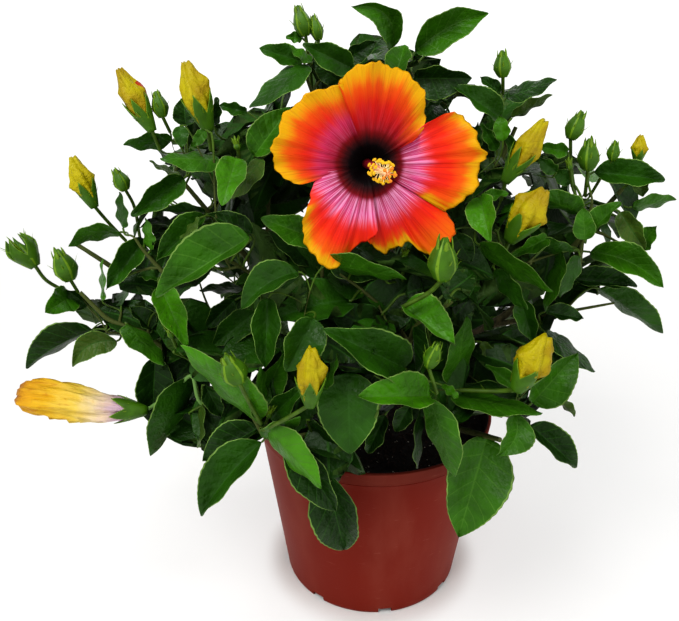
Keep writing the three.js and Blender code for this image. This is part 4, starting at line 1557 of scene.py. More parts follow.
def sheet_faces(row_count, column_count):
    """A two-sided sheet: the front's grid, then the back's inner corners."""
    front = np.arange(row_count * column_count).reshape(row_count, column_count)
    back = front.copy()
    back[1:-1, 1:-1] = front.size + np.arange(back[1:-1, 1:-1].size).reshape(row_count - 2, -1)
    faces = []
    for grid, turn in ((front.tolist(), -1), (back.tolist(), 1)):
        for low, high in zip(grid, grid[1:]):
            for column in range(column_count - 1):
                face = (low[column], low[column + 1], high[column + 1], high[column])
                faces.append(face[::turn])
    return faces


def make_petal(name, settings):
    """One ruffled petal, which carries what its material needs."""
    places, reach, rim, angle = petal_places(name, PETAL_ROWS, PETAL_COLUMNS)
    inner = (slice(1, -1), slice(1, -1))
    back = places[inner] - FLOWER_WAY * PETAL_THICKNESS
    whole = np.vstack([places.reshape(-1, 3), back.reshape(-1, 3)])
    faces = sheet_faces(len(PETAL_ROWS), len(PETAL_COLUMNS))
    piece = mesh_piece(name, whole, faces, [petal_material(name, settings)])
    for label, values in (("reach", reach), ("rim", rim), ("fan", angle)):
        carry(piece.data, label, np.concatenate([values.ravel(), values[inner].ravel()]))
    return piece


def column_route():
    tip = sight(*COLUMN_TIP)
    foot = THROAT - FLOWER_WAY * COLUMN_DEPTH
    return arc(foot, FLOWER_WAY * COLUMN_PULL, tip, unit(tip - THROAT) * COLUMN_PULL, COLUMN_POINTS)


def route_skin(name, points, radii, corners, materials):
    """A round skin along a route, which carries its share along."""
    ways = np.gradient(points, axis=0)
    ways /= norm(ways, axis=1, keepdims=True)
    side, _ = frame_across(ways[len(ways) // 2])
    places = [points[0]]
    for centre, way, radius in zip(points, ways, radii):
        first = square_to(way, side)
        ring = around(corners, first, np.cross(way, first))
        places.extend(centre + ring * np.atleast_1d(radius)[:, None])
    places.append(points[-1])
    piece = mesh_piece(name, np.array(places), tube_faces(len(points), corners), materials)
    carry(piece.data, "along", np.concatenate([[0], np.repeat(share_of(len(points)), corners), [1]]))
    return piece


# ---- materials


def leaf_material(name, light, shade, gloss):
    """Living green: two near tones that drift, with a faint grain."""

    def pattern(web):
        place = web.place()
        drift = web.noise(place, 55.0)
        grain = web.noise(place, 900.0)
        tone = web.blend(web.rise(drift, 0.35, 0.65), shade, light)
        quilt = web.noise(place, 330.0, 1.0)
        colour = web.blend(web.rise(grain, 0.4, 0.9) * 0.25, tone, light)
        return Finish(web, colour, gloss, grain, 0.12, quilt * 0.8 + grain * 0.2, 0.9 * MM)

    return material(name, 0.24, pattern, IOR=1.42)


def plain_material(name, light, shade, scale, roughness, depth):
    """A soft mottle of two tones with a fine relief."""

    def pattern(web):
        place = web.place()
        mottle = web.noise(place, scale, 3.0)
        fine = web.noise(place, scale * 6)
        colour = web.blend(web.rise(mottle, 0.3, 0.7), shade, light)
        return Finish(web, colour, roughness, fine, 0.15, fine, depth)

    return material(name, 0.22, pattern)


def bark_material(name, light, settings):
    """Brown bark with pale pores, which turns green far from the stem."""

    def pattern(web):
        place = web.place()
        creases = web.noise(web.scaled(place, (1, 1, 0.22)), 420.0, 4.0)
        pores = web.noise(place, 620.0, 1.0)
        tone = web.blend(web.rise(creases, 0.35, 0.65), settings.crease, light)
        spotted = web.blend(web.rise(pores, 0.66, 0.74) * 0.5, tone, settings.pore)
        away = web.reach(web.vector("SUBTRACT", place, tuple(STEM_TOP)))
        young = web.rise(away + (creases - 0.5) * 0.05, 0.07, 0.17)
        colour = web.blend(young * 0.85, spotted, settings.twig)
        return Finish(web, colour, 0.72, creases, 0.2, creases, 0.5 * MM)

    return material(name, 0.3, pattern)


POT_FLARE = (POT["shoulder"] - POT["base"]) / (POT["height"] - POT["band"])


def pot_material(settings):
    """Matt plastic: paler and dustier on the rim and in upright drifts, with the inner wall darkened as
    painted shade.
    """

    def pattern(web):
        place = web.place()
        height = web.upward(place)
        dust = web.noise(web.scaled(place, (1, 1, 0.35)), 26.0, 4.0)
        speckle = web.noise(place, 700.0)
        scuffs = web.noise(web.scaled(place, (1, 1, 6)), 90.0, 3.0)
        rim = web.rise(height, 0.1535, 0.1575)
        tone = web.blend(rim * 0.75, settings.body, settings.rim)
        tone = web.blend(web.rise(dust, 0.42, 0.75) * 0.2, tone, settings.dust)
        tone = web.blend(web.rise(scuffs, 0.66, 0.76) * 0.3, tone, settings.dust)
        # Painted shade: the inner wall above the soil takes the dark inside tone, which stands for the
        # shadow inside the pot more than for any soil stain.
        from_axis = web.reach(web.scaled(place, (1, 1, 0)))
        within = height * POT_FLARE + POT["base"] * MM - from_axis
        tone = web.blend(web.rise(within, 0.9 * MM, 1.4 * MM), tone, settings.inside)
        finish = Finish(web, tone, 0.5, dust, 0.25, speckle, 0.08 * MM)
        finish.sockets["Roughness"] += rim * 0.1
        return finish

    return material("moulded_plastic", 0.08, pattern)


def floor_material(settings):
    """A plain pale floor that turns into the surround far away."""
    shade = darker(settings.floor, 0.97)
    made = plain_material("pale_floor", settings.floor, shade, 3.0, 0.8, 0.0)
    web = Web(made.node_tree)
    nodes = web.tree.nodes
    distance = web.reach(web.place())
    light = web.node("ShaderNodeEmission", {0: (1.0, 1.0, 1.0, 1.0), 1: settings.surround})
    near = Wire(web, nodes["Principled BSDF"].outputs[0])
    glow = web.rise(distance, 0.086, 0.11) * 0.45 + web.rise(distance, 0.6, 2.5) * 0.55
    shader = web.node("ShaderNodeMixShader", {0: glow, 1: near, 2: light})
    web.tree.links.new(shader.socket, nodes["Material Output"].inputs["Surface"])
    return made


# Tones outward from the throat, as shares of the bloom's reach.
BLOOM_REACH = 66
PETAL_STOPS = (
    (0.19, (8, 1, 3)), (0.25, (52, 2, 5)), (0.31, (102, 3, 8)), (0.36, (136, 3, 14)),
    (0.45, (164, 8, 8)), (0.62, (188, 26, 4)), (0.8, (200, 54, 4)), (1.0, (206, 92, 6)),
)
PINK_STOPS = (
    (0.19, (8, 1, 3)), (0.25, (54, 2, 6)), (0.31, (106, 3, 14)), (0.35, (150, 16, 60)),
    (0.47, (186, 42, 104)), (0.58, (204, 32, 30)), (0.75, (214, 42, 12)), (1.0, (214, 96, 8)),
)
COLUMN_STOPS = ((0.3, (110, 8, 26)), (0.55, (214, 70, 84)), (0.8, (240, 196, 150)))
SPENT_STOPS = (
    (0.06, (176, 142, 168)), (0.2, (196, 168, 176)), (0.34, (216, 194, 146)),
    (0.5, (216, 186, 74)), (0.72, (212, 168, 32)), (0.92, (202, 148, 20)), (1.0, (150, 92, 16)),
)


def petal_material(name, settings):
    """From a dark throat through red or pink to scarlet and a yellow margin."""
    _, margin, pink, rays, *_ = PETALS[name]
    seed = float(len(name)) * 3.7

    def pattern(web):
        reach, rim, fan = (web.carried(label) for label in ("reach", "rim", "fan"))
        broad, fine = (
            web.noise(web.triple(fan * lanes, reach * 0.03, seed), 1.0, 3.0) for lanes in (9, 46)
        )
        streak = (broad - 0.5) * 12 + (fine - 0.5) * 7
        outside = web.rise(reach, 20, 40)
        drift = (reach + streak * (0.4 + outside)) / BLOOM_REACH
        body = web.blend(pink, web.ramp(drift, PETAL_STOPS), web.ramp(drift, PINK_STOPS))
        window = web.rise(reach, 20, 24) * web.rise(reach + streak, 44, 32)
        pale = (0.12 + web.rise(fine, 0.44, 0.62) * 0.88) * window * rays
        body = web.blend(pale, body, settings.rays)
        inner = web.rise(rim + streak, margin * 2.4, margin * 0.5) * 0.8
        body = web.blend(inner, body, settings.glow)
        body = web.blend(web.rise(rim + streak, margin * 1.3, margin * 0.2), body, settings.margin)
        veins = web.rise(fine, 0.46, 0.3) * 0.25 * web.rise(reach, 22, 34)
        colour = web.blend(veins, body, settings.veins)
        return Finish(web, colour, 0.5, fine, 0.2, fine, 0.5 * MM)

    return material(name, 0.12, pattern)


def column_material():
    """Dark red at the foot, pink in the middle and cream at the tip."""

    def pattern(web):
        grain = web.noise(web.place(), 700.0)
        colour = web.ramp(web.carried("along") + (grain - 0.5) * 0.1, COLUMN_STOPS)
        return Finish(web, colour, 0.5, grain, 0.2, grain, 0.1 * MM)

    return material("column", 0.35, pattern)


def spent_material(settings):
    """Withered petals: lilac by the calyx, then cream to ochre with long creases."""

    def pattern(web):
        along = web.carried("along")
        blotch = web.noise(web.place(), 120.0, 3.0)
        wrinkle = web.noise(web.scaled(web.place(), (0.16, 1, 1)), 420.0, 3.0, 0.6)
        tone = web.ramp(along + (blotch - 0.5) * 0.2, SPENT_STOPS)
        lines = web.rise(wrinkle, 0.56, 0.68) * (0.15 + web.rise(along, 0.3, 0.7) * 0.4)
        colour = web.blend(lines, tone, settings.wrinkle)
        return Finish(web, colour, 0.5, wrinkle, 0.3, wrinkle, 1.0 * MM)

    return material("withered_petals", 0.2, pattern)


def crumpled_material(name, light, shade):
    """Two near tones with creases where the petals fold, the creases darkened as painted shade."""

    def pattern(web):
        place = web.place()
        folds = web.noise(place, 170.0, 2.0, 1.2)
        drift = web.noise(place, 60.0, 1.0)
        tone = web.blend(web.rise(drift, 0.35, 0.65), shade, light)
        # Painted shade: thin crease lines are darkened towards the fold tone and stand for shadow in the
        # folds.
        crease = web.rise(folds, 0.45, 0.5) * web.rise(folds, 0.55, 0.5)
        colour = web.blend(crease * 0.25, tone, shade)
        return Finish(web, colour, 0.5, folds, 0.2, folds, 1.6 * MM)

    return material(name, 0.2, pattern)


# ---- growing pieces


def limb_skin_tree(finish):
    """Round skins along routes, with the relief of bark."""

    def build(web, entry, corners, relief, grain):
        curves = web.geo("MeshToCurve", {0: entry})
        profile = web.geo("CurvePrimitiveCircle", {0: corners, "Radius": 1.0})
        sockets = {0: curves, 1: profile, 2: web.geo("InputRadius"), 3: True}
        skin = web.geo("CurveToMesh", sockets)
        place = web.scaled(web.geo("InputPosition"), (1, 1, 0.45))
        lift = (web.noise(place, grain, 3.0) - 0.5) * relief * 2
        sockets = {0: web.geo("InputNormal"), "Scale": lift}
        push = web.node("ShaderNodeVectorMath", sockets, operation="SCALE")
        skin = web.geo("SetPosition", {0: skin, 3: push})
        return web.geo("SetShadeSmooth", {0: skin})

    sizes = {"Corners": 16, "Relief": 0.0003, "Grain": 260.0}
    return geometry_tree("limb_skin", sizes, finish, build)


def notched_pot_tree(finish):
    """Drain notches cut round the foot of a pot."""

    def build(web, entry, count, radius, first_angle, depth, width, height):
        ring = web.geo("MeshCircle", {0: count, 1: radius})
        ring = web.geo("Transform", {0: ring, "Rotation": web.triple(z=first_angle)})
        block = web.geo("MeshCube", {0: web.triple(depth, width, height * 2)})
        place = web.geo("InputPosition")
        outward = web.node("FunctionNodeAlignRotationToVector", {2: place}, axis="X")
        blocks = web.geo("InstanceOnPoints", {0: ring, 2: block, 5: outward})
        blocks = web.geo("RealizeInstances", {0: blocks})
        return web.geo("MeshBoolean", {0: entry, 1: blocks}, operation="DIFFERENCE")

    sizes = {
        "Count": 8, "Ring Radius": 0.082, "First Angle": 4.887, "Depth": 0.012, "Width": 0.012,
        "Height": 0.005,
    }
    return geometry_tree("notched_pot", sizes, finish, build)


def crumb_tree(name, finish):
    """Uneven grains scattered over the upward faces of a base."""

    def build(web, entry, density, least, most, seed):
        top = web.maths("GREATER_THAN", web.upward(web.geo("InputNormal")), 0.4)
        points = web.geo("DistributePointsOnFaces", {0: entry, 1: top, 4: density, 6: seed})
        grain = web.geo("MeshIcoSphere", {0: 1.0, 1: 1})
        low = web.triple(least, least, least * 0.6)
        high = web.triple(most, most * 0.7, most * 0.6)
        turn, size = (
            web.node("FunctionNodeRandomValue", sockets, data_type="FLOAT_VECTOR")
            for sockets in (
                {0: (0, 0, 0), 1: (6.28, 6.28, 6.28), 8: seed},
                {0: low, 1: high, 8: seed + 1},
            )
        )
        return web.geo("InstanceOnPoints", {0: points, 2: grain, 5: turn, 6: size})

    sizes = {"Density": 60000.0, "Least": 0.0005, "Most": 0.002, "Seed": 3}
    return geometry_tree(name, sizes, finish, build)


def set_on_column(web, entry, density, seed, shape, lift, **form):
    """A shape standing on points over the outer part of the column."""
    sockets = {0: entry, 2: 0.0009, 3: density, 6: seed}
    points = web.geo("DistributePointsOnFaces", sockets, distribute_method="POISSON")
    outward = points.output("Normal")
    turn = web.node("FunctionNodeAlignRotationToVector", {2: outward}, axis="Z")
    shape = web.geo("Transform", {0: shape, "Translation": web.triple(z=lift), **form})
    return web.geo("InstanceOnPoints", {0: points, 2: shape, 5: turn})


def filament_tree(finish):
    """Fine threads standing on the column."""

    def build(web, entry, density, length, thickness, seed):
        sockets = {"Vertices": 5, "Radius": thickness, "Depth": length}
        thread = web.geo("MeshCylinder", sockets)
        return set_on_column(web, entry, density, seed, thread, length / 2)

    sizes = {"Density": 90000.0, "Length": 0.004, "Thickness": 0.00022, "Seed": 5}
    return geometry_tree("filaments", sizes, finish, build)


def anther_tree(finish):
    """An anther on the end of each thread."""

    def build(web, entry, density, length, size, seed):
        lump = web.geo("MeshIcoSphere", {0: size, 1: 2})
        lumps = set_on_column(web, entry, density, seed, lump, length, Scale=(1.25, 0.85, 0.8))
        return web.geo("SetShadeSmooth", {0: lumps})

    sizes = {"Density": 90000.0, "Length": 0.004, "Size": 0.0011, "Seed": 5}
    return geometry_tree("anthers", sizes, finish, build)


# ---- settings


def tint(name, description, *screen):
    """A colour setting whose default is given in screen values."""
    return FloatVectorProperty(
        name=name, description=description, subtype="COLOR", size=4, min=0.0, max=1.0,
        default=paint(*screen),
    )


def amount(name, description, default, **kind):
    return FloatProperty(name=name, description=description, default=default, **kind)


def length(name, description, default):
    return amount(name, description, default, unit="LENGTH", subtype="DISTANCE")


class PotSettings(PropertyGroup):
    body: tint("Body", "Colour of the pot's wall", 114, 30, 15)
    # Painted shade: this dark inner-wall tone mostly stands for the shadow inside the pot, with some soil
    # stain.
    inside: tint("Inside", "Soil-stained inner wall", 30, 14, 10)
    rim: tint("Rim", "Colour of the weathered rim", 112, 44, 32)
    dust: tint("Dust", "Colour of dust and scuffs", 150, 92, 76)
    notch_width: length("Notch Width", "Breadth of each drain notch", 0.012)
    notch_height: length("Notch Height", "Height of each drain notch", 0.005)
    notch_count: IntProperty(name="Notches", description="Drain notches round the foot", default=8)


class SoilSettings(PropertyGroup):
    earth: tint("Earth", "Colour of the potting soil", 30, 22, 17)
    chip: tint("Chips", "Colour of the bark chips", 52, 37, 27)
    perlite: tint("Perlite", "Colour of the pale grains", 196, 190, 178)
    chip_size: length("Chip Size", "Half-length of the largest chips", 0.0026)
    perlite_size: length("Perlite Size", "Half-length of the largest pale grains", 0.0016)


class LimbSettings(PropertyGroup):
    bark: tint("Bark", "Lit tone of the bark", 92, 80, 58)
    crease: tint("Creases", "Dark tone of the bark", 50, 43, 31)
    pore: tint("Pores", "Pale pores of the bark", 150, 134, 106)
    twig: tint("Twigs", "Green tone of the young wood", 72, 84, 30)
    twig_shade: tint("Twig Shade", "Brown tone of the young wood", 66, 58, 36)
    stalk: tint("Stalks", "Colour of leaf and flower stalks", 76, 104, 28)
    relief: amount("Relief", "Depth of the bark as a share of the limb's radius", 0.09)


class LeafSettings(PropertyGroup):
    # The tones are partly the leaves' own age and partly painted light: bright and mid stand for lit
    # leaves, deep and dark for leaves in shade, and the pale and dull veins are their lit and shaded
    # copies.
    bright: tint("Bright", "Young, lit leaves", 66, 123, 9)
    mid: tint("Mid", "Grown leaves in light", 53, 102, 8)
    deep: tint("Deep", "Grown leaves", 40, 82, 8)
    dark: tint("Dark", "Old leaves within the crown", 28, 60, 8)
    olive: tint("Olive", "Leaves seen from their dull side", 66, 90, 28)
    pale_vein: tint("Pale Vein", "Veins of bright leaves", 70, 116, 30)
    dull_vein: tint("Dull Vein", "Veins of deep leaves", 46, 88, 22)
    # Painted highlight: the pale margin stands for light caught along each leaf's edge.
    margin: tint("Margin", "The thin pale edge of a leaf", 118, 150, 72)
    underside: tint("Underside", "The dull side of a leaf", 60, 88, 32)
    gloss: amount("Gloss", "Roughness of the upper side", 0.4)


class BudSettings(PropertyGroup):
    yellow: tint("Yellow", "Rolled petals of a bud", 170, 158, 4)
    flush: tint("Flush", "Red edges of the rolled petals", 170, 64, 18)
    # Painted shade: the fold tone darkens the creases of the rolled petals, and it is also the darker tone
    # of their mottle.
    fold: tint("Folds", "Creases of the rolled petals", 150, 128, 4)
    calyx: tint("Calyx", "Green parts of buds and flowers", 66, 106, 14)
    calyx_tip: tint("Calyx Tip", "Lobes and seams of the calyx", 108, 142, 28)


class FlowerSettings(PropertyGroup):
    margin: tint("Margin", "The petals' ruffled edge", 204, 152, 6)
    glow: tint("Glow", "Orange inside the yellow edge", 208, 92, 4)
    rays: tint("Rays", "Pale rays round the throat", 226, 160, 196)
    veins: tint("Veins", "Fine dark lines that fan over the petals", 140, 14, 12)
    anther: tint("Anthers", "Pollen", 240, 200, 44)
    filament: tint("Threads", "The threads that carry the anthers", 246, 224, 160)
    stigma: tint("Stigma", "The pads at the column's tip", 226, 132, 40)
    wrinkle: tint("Wrinkles", "Dark creases of the withered petals", 176, 104, 18)
    anther_size: length("Anther Size", "Half-length of an anther", 0.00115)


class StageSettings(PropertyGroup):
    floor: tint("Floor", "Colour of the plain floor", 242, 241, 239)
    key_power: amount("Key Light", "Power of the main soft light", 19.0)
    fill_power: amount("Fill Light", "Power of the side soft light", 4.0)
    surround: amount("Surround", "Light from round about", 0.95)
    sky: amount("Sky", "Light from overhead", 0.3)


# ---- operators


class HIBISCUS_OT_camera(Operator):
    """Set the camera on the main sight line"""

    bl_idname = "hibiscus.camera"
    bl_label = "Camera"

    def execute(self, context):
        data = bpy.data.cameras.new("camera")
        data.sensor_width = SENSOR_WIDTH
        data.lens = FOCAL_DOTS * SENSOR_WIDTH / VIEW_DOTS[0]
        data.clip_start = 0.01
        camera = placed("camera", data)
        camera.location = EYE
        camera.rotation_euler = (pi / 2 - LOOK_DOWN, 0, LOOK_LEFT)
        context.scene.camera = camera
        return {"FINISHED"}


POT_CORNERS = 144
POT_EDGE_ANGLE = radians(35)
SOIL_CORNERS = 90
SOIL_RINGS = 34


def pot_radius(height):
    return POT["base"] + (POT["shoulder"] - POT["base"]) * height / (POT["height"] - POT["band"])


def wall(heights, past):
    """The pot's wall at some heights, past its plain slope."""
    return [(pot_radius(height) + past, height) for height in heights]


def pot_profile():
    """Radius and height round the pot's wall, from its foot to its floor."""
    top, step, thick = POT["height"], POT["step"], POT["wall"]
    band = top - POT["band"]
    shoulder = pot_radius(band)
    foot = [(pot_radius(0) - 1.4, 0), (pot_radius(0) - 0.4, 0.25), (pot_radius(1), 1.1)]
    under = ((-0.1, -1.6), (-0.5, -0.9), (-0.3, -0.2), (step - 0.5, 0), (step, 0.6), (step, 1.4))
    edge = [(shoulder + out, band + up) for out, up in under]
    lip = (step + thick) / 2
    centre = pot_radius(top) + step - lip
    bends = [radians(angle) for angle in (15, 40, 65, 90, 120, 150, 175)]
    rounded = [(centre + lip * cos(bend), top - 1.2 + 1.2 * sin(bend)) for bend in bends]
    outside = [*wall(np.linspace(4, band - 2.4, 26), 0), *edge]
    outside += wall(np.linspace(band + 3, top - 1.4, 6), step)
    inside = wall(np.linspace(top - 3, 3, 26), -thick)
    return [(0, 0), (40, 0), *foot, *outside, *rounded, *inside, (40, 2.5), (0, 2.5)]


class HIBISCUS_OT_pot(Operator):
    """Turn the moulded pot, with its rim band and drain notches"""

    bl_idname = "hibiscus.pot"
    bl_label = "Pot"

    def execute(self, context):
        settings = context.scene.hibiscus_pot
        profile = pot_profile()
        circle = around(POT_CORNERS, np.array([1, 0, 0]), np.array([0, 1, 0]))
        places = [np.array([[0, 0, profile[0][1]]])]
        places += [circle * radius + UPRIGHT * height for radius, height in profile[1:-1]]
        places.append(np.array([[0, 0, profile[-1][1]]]))
        blank = bpy.data.meshes.new("pot_blank")
        faces = tube_faces(len(profile) - 2, POT_CORNERS)
        blank.from_pydata((np.concatenate(places) * MM).tolist(), [], faces)
        sizes = {
            "Count": settings.notch_count, "Width": settings.notch_width,
            "Height": settings.notch_height,
        }
        pot = grown("nursery_pot", blank, notched_pot_tree(pot_material(settings)), sizes)
        pot.data.polygons.foreach_set("use_smooth", [True] * len(pot.data.polygons))
        pot.data.set_sharp_from_angle(angle=POT_EDGE_ANGLE)
        settle(pot, "pot", "pot")
        return {"FINISHED"}


def soil_surface():
    """A closed shape: an uneven top, a wall and a flat foot."""
    circle = around(SOIL_CORNERS, np.array([1, 0]), np.array([0, 1]))
    clearance = POT["wall"] + 0.6
    inner = pot_radius(SOIL_LEVEL) - clearance
    places = [(0, 0, 4)]
    for radius, height in ((pot_radius(4) - clearance, 4), (inner, SOIL_LEVEL - 4)):
        places.extend((x * radius, y * radius, height) for x, y in circle)
    for radius in (inner, *np.linspace(inner - 1.5, 3, SOIL_RINGS)):
        for x, y in circle * radius:
            spot = Vector((x, y, 0))
            roll = noise.noise(spot / 19) * 2.2 + noise.noise(spot / 7) * 1.3
            crumb = noise.noise(spot / 2.6) * 0.9
            heap = 2.5 * exp(-((radius / 30) ** 2))
            places.append((x, y, SOIL_LEVEL - 1 + roll + crumb + heap))
    places.append((0, 0, SOIL_LEVEL + 1.5))
    return np.array(places) * MM, tube_faces(SOIL_RINGS + 3, SOIL_CORNERS)


class HIBISCUS_OT_soil(Operator):
    """Fill the pot with soil, bark chips and pale grains"""

    bl_idname = "hibiscus.soil"
    bl_label = "Soil"

    def execute(self, context):
        settings = context.scene.hibiscus_soil
        earth, chips, pale = (
            plain_material(name, tone, darker(tone, share), scale, roughness, depth * MM)
            for name, tone, share, scale, roughness, depth in (
                ("potting_soil", settings.earth, 0.45, 300.0, 0.9, 0.8),
                ("bark_chips", settings.chip, 0.4, 240.0, 0.85, 0.3),
                ("pale_grains", settings.perlite, 0.7, 500.0, 0.9, 0.2),
            )
        )
        soil = mesh_piece("soil_surface", *soil_surface(), [earth])
        settle(soil, "soil", "soil")
        for name, finish, density, least, most, seed in (
            ("soil_chips", chips, 52000.0, 0.0007, settings.chip_size, 3),
            ("soil_pale_grains", pale, 7500.0, 0.0004, settings.perlite_size, 8),
        ):
            sizes = {"Density": density, "Least": least, "Most": most, "Seed": seed}
            settle(grown(name, soil.data.copy(), crumb_tree(name, finish), sizes), "soil")
        return {"FINISHED"}


# How round each kind of limb is, and the grain of its relief.
STEM_CORNERS, BOUGH_CORNERS, TWIG_CORNERS, STALK_CORNERS = 28, 16, 8, 7
BARK_GRAIN, YOUNG_GRAIN = 300.0, 420.0
LIMB_POINTS = 70
# A bough is slimmer than its solid: shares of its thickness along it.
BOUGH_SLIMNESS = ((0, 1), (0.3, 0.85), (1, 0.5))
# The open flower's stalk: its points, its bow and its radii at the flower and at the foot.
STALK_POINTS, STALK_BOW, STALK_RADII = 30, 6, (2.4, 1.56)


def skinned(name, base_name, routes, tree, corners, relief, grain=YOUNG_GRAIN):
    """A piece of skins along routes."""
    sizes = {"Corners": corners, "Relief": relief, "Grain": grain}
    return grown(name, route_mesh(base_name, routes), tree, sizes)


class HIBISCUS_OT_limbs(Operator):
    """Skin the stem and the boughs with bark"""

    bl_idname = "hibiscus.limbs"
    bl_label = "Stem and Boughs"

    def execute(self, context):
        settings = context.scene.hibiscus_limbs
        tree = limb_skin_tree(bark_material("bark", settings.bark, settings))
        for name, (points, radii) in shrub_plan().limbs.items():
            node = limb_node(name)
            along = share_of(LIMB_POINTS)
            widths = np.interp(along, share_of(len(radii)), radii)
            if name != "stem":
                widths = widths * np.interp(along, *zip(*BOUGH_SLIMNESS))
            corners = STEM_CORNERS if name == "stem" else BOUGH_CORNERS
            relief = settings.relief * float(radii.mean())
            routes = [(evenly(points, LIMB_POINTS), widths)]
            piece = skinned(f"{node}_bark", node, routes, tree, corners, relief, BARK_GRAIN)
            settle(piece, "bark", node)
        return {"FINISHED"}


class HIBISCUS_OT_twigs(Operator):
    """Grow the twigs and the leaf stalks"""

    bl_idname = "hibiscus.twigs"
    bl_label = "Twigs and Stalks"

    def execute(self, context):
        settings = context.scene.hibiscus_limbs
        plan = shrub_plan()
        bark = limb_skin_tree(bark_material("young_bark", settings.twig_shade, settings))
        twigs = skinned("twigs", "twigs", plan.woods, bark, TWIG_CORNERS, 0.12 * MM)
        settle(twigs, "bark")
        shade = darker(settings.stalk, 0.6)
        green = plain_material("green_stalk", settings.stalk, shade, 160.0, 0.45, 0.1 * MM)
        tree = limb_skin_tree(green)
        stalks = skinned("leaf_stalks", "stalks", plan.stalks, tree, STALK_CORNERS, 0.03 * MM)
        settle(stalks, "green_stalk")
        start = THROAT - FLOWER_WAY * FLOWER["calyx"] * 0.9 * MM
        route = bowed(start, np.array(MASSES["heart"]) * MM, STALK_BOW, STALK_POINTS)
        routes = [(route, np.linspace(*STALK_RADII, STALK_POINTS) * MM)]
        stalk = skinned("open_flower_stem", "stem", routes, tree, STALK_CORNERS, 0.03 * MM)
        settle(stalk, "green_stalk", "open_flower_stalk")
        return {"FINISHED"}


class HIBISCUS_OT_leaves(Operator):
    """Leaf each mass of the crown with sprays of two-sided blades"""

    bl_idname = "hibiscus.leaves"
    bl_label = "Leaves"

    def execute(self, context):
        settings = context.scene.hibiscus_leaves
        finishes = []
        for slot in LEAF_SLOTS:
            light = getattr(settings, slot)
            gloss = settings.gloss if slot in LEAF_TONES else settings.gloss + 0.15
            finishes.append(leaf_material(f"leaf_{slot}", light, darker(light, 0.66), gloss))
        for name in MASSES:
            assembly = Assembly()
            for leaves, leading in ((shrub_plan().leaves, True), (shrub_plan().own, False)):
                for leaf in leaves:
                    if leaf.mass == name:
                        add_leaf(assembly, leaf, leading)
            if not assembly.faces:
                raise RuntimeError(f"no leaf grew in the {name} mass")
            settle(assembly.piece(f"leaves_{name}", finishes), "leaf", f"foliage_{name}")
        return {"FINISHED"}


def bud_finishes(settings):
    """Rolled petals, their flushed edges and the calyx."""
    made = []
    for name in BUD_FINISHES:
        light = getattr(settings, name)
        if name == "yellow":
            made.append(crumpled_material("bud_yellow", light, settings.fold))
        else:
            shade = darker(light, 0.72)
            made.append(plain_material(f"bud_{name}", light, shade, 140.0, 0.45, 0.12 * MM))
    return made


class HIBISCUS_OT_buds(Operator):
    """Set the furled and the green buds on their stalks"""

    bl_idname = "hibiscus.buds"
    bl_label = "Buds"

    def execute(self, context):
        finishes = bud_finishes(context.scene.hibiscus_buds)
        assembly = Assembly()
        for bud in shrub_plan().buds:
            add_bud(assembly, bud)
        settle(assembly.piece("buds", finishes), "petal")
        return {"FINISHED"}


CALYX_NOTCH = 0.6
CALYX_BRACTS = 8


def make_calyx(name, context, flower, base, way, levels, widths, bracts):
    """A cup with five lobes in a ring of bracts."""
    assembly = Assembly()
    add_calyx_cup(assembly, base, way, np.array(levels) * MM, np.array(widths) * MM, CALYX_NOTCH)
    add_bracts(assembly, base, way, CALYX_BRACTS, *(size * MM for size in bracts))
    finishes = bud_finishes(context.scene.hibiscus_buds)
    settle(assembly.piece(name, finishes), "green_stalk", flower)


# From which station the column bears threads, how far out their feet are, their ring.
THREADS_FROM, THREAD_FOOT, THREAD_CORNERS = 24, 0.9, 12
STIGMA_CORNERS = 12
# The styles, and for a style's thread and pad: its start, length, half-breadth and swell.
STYLES = 5
STYLE_PARTS = ((0, 5, 0.4, 0), (4.4, 2.2, 1.1, 0.6))
COLUMN_WIDTHS = ((0, 3.6), (0.3, 2.6), (0.9, 2.0), (1, 1.6))


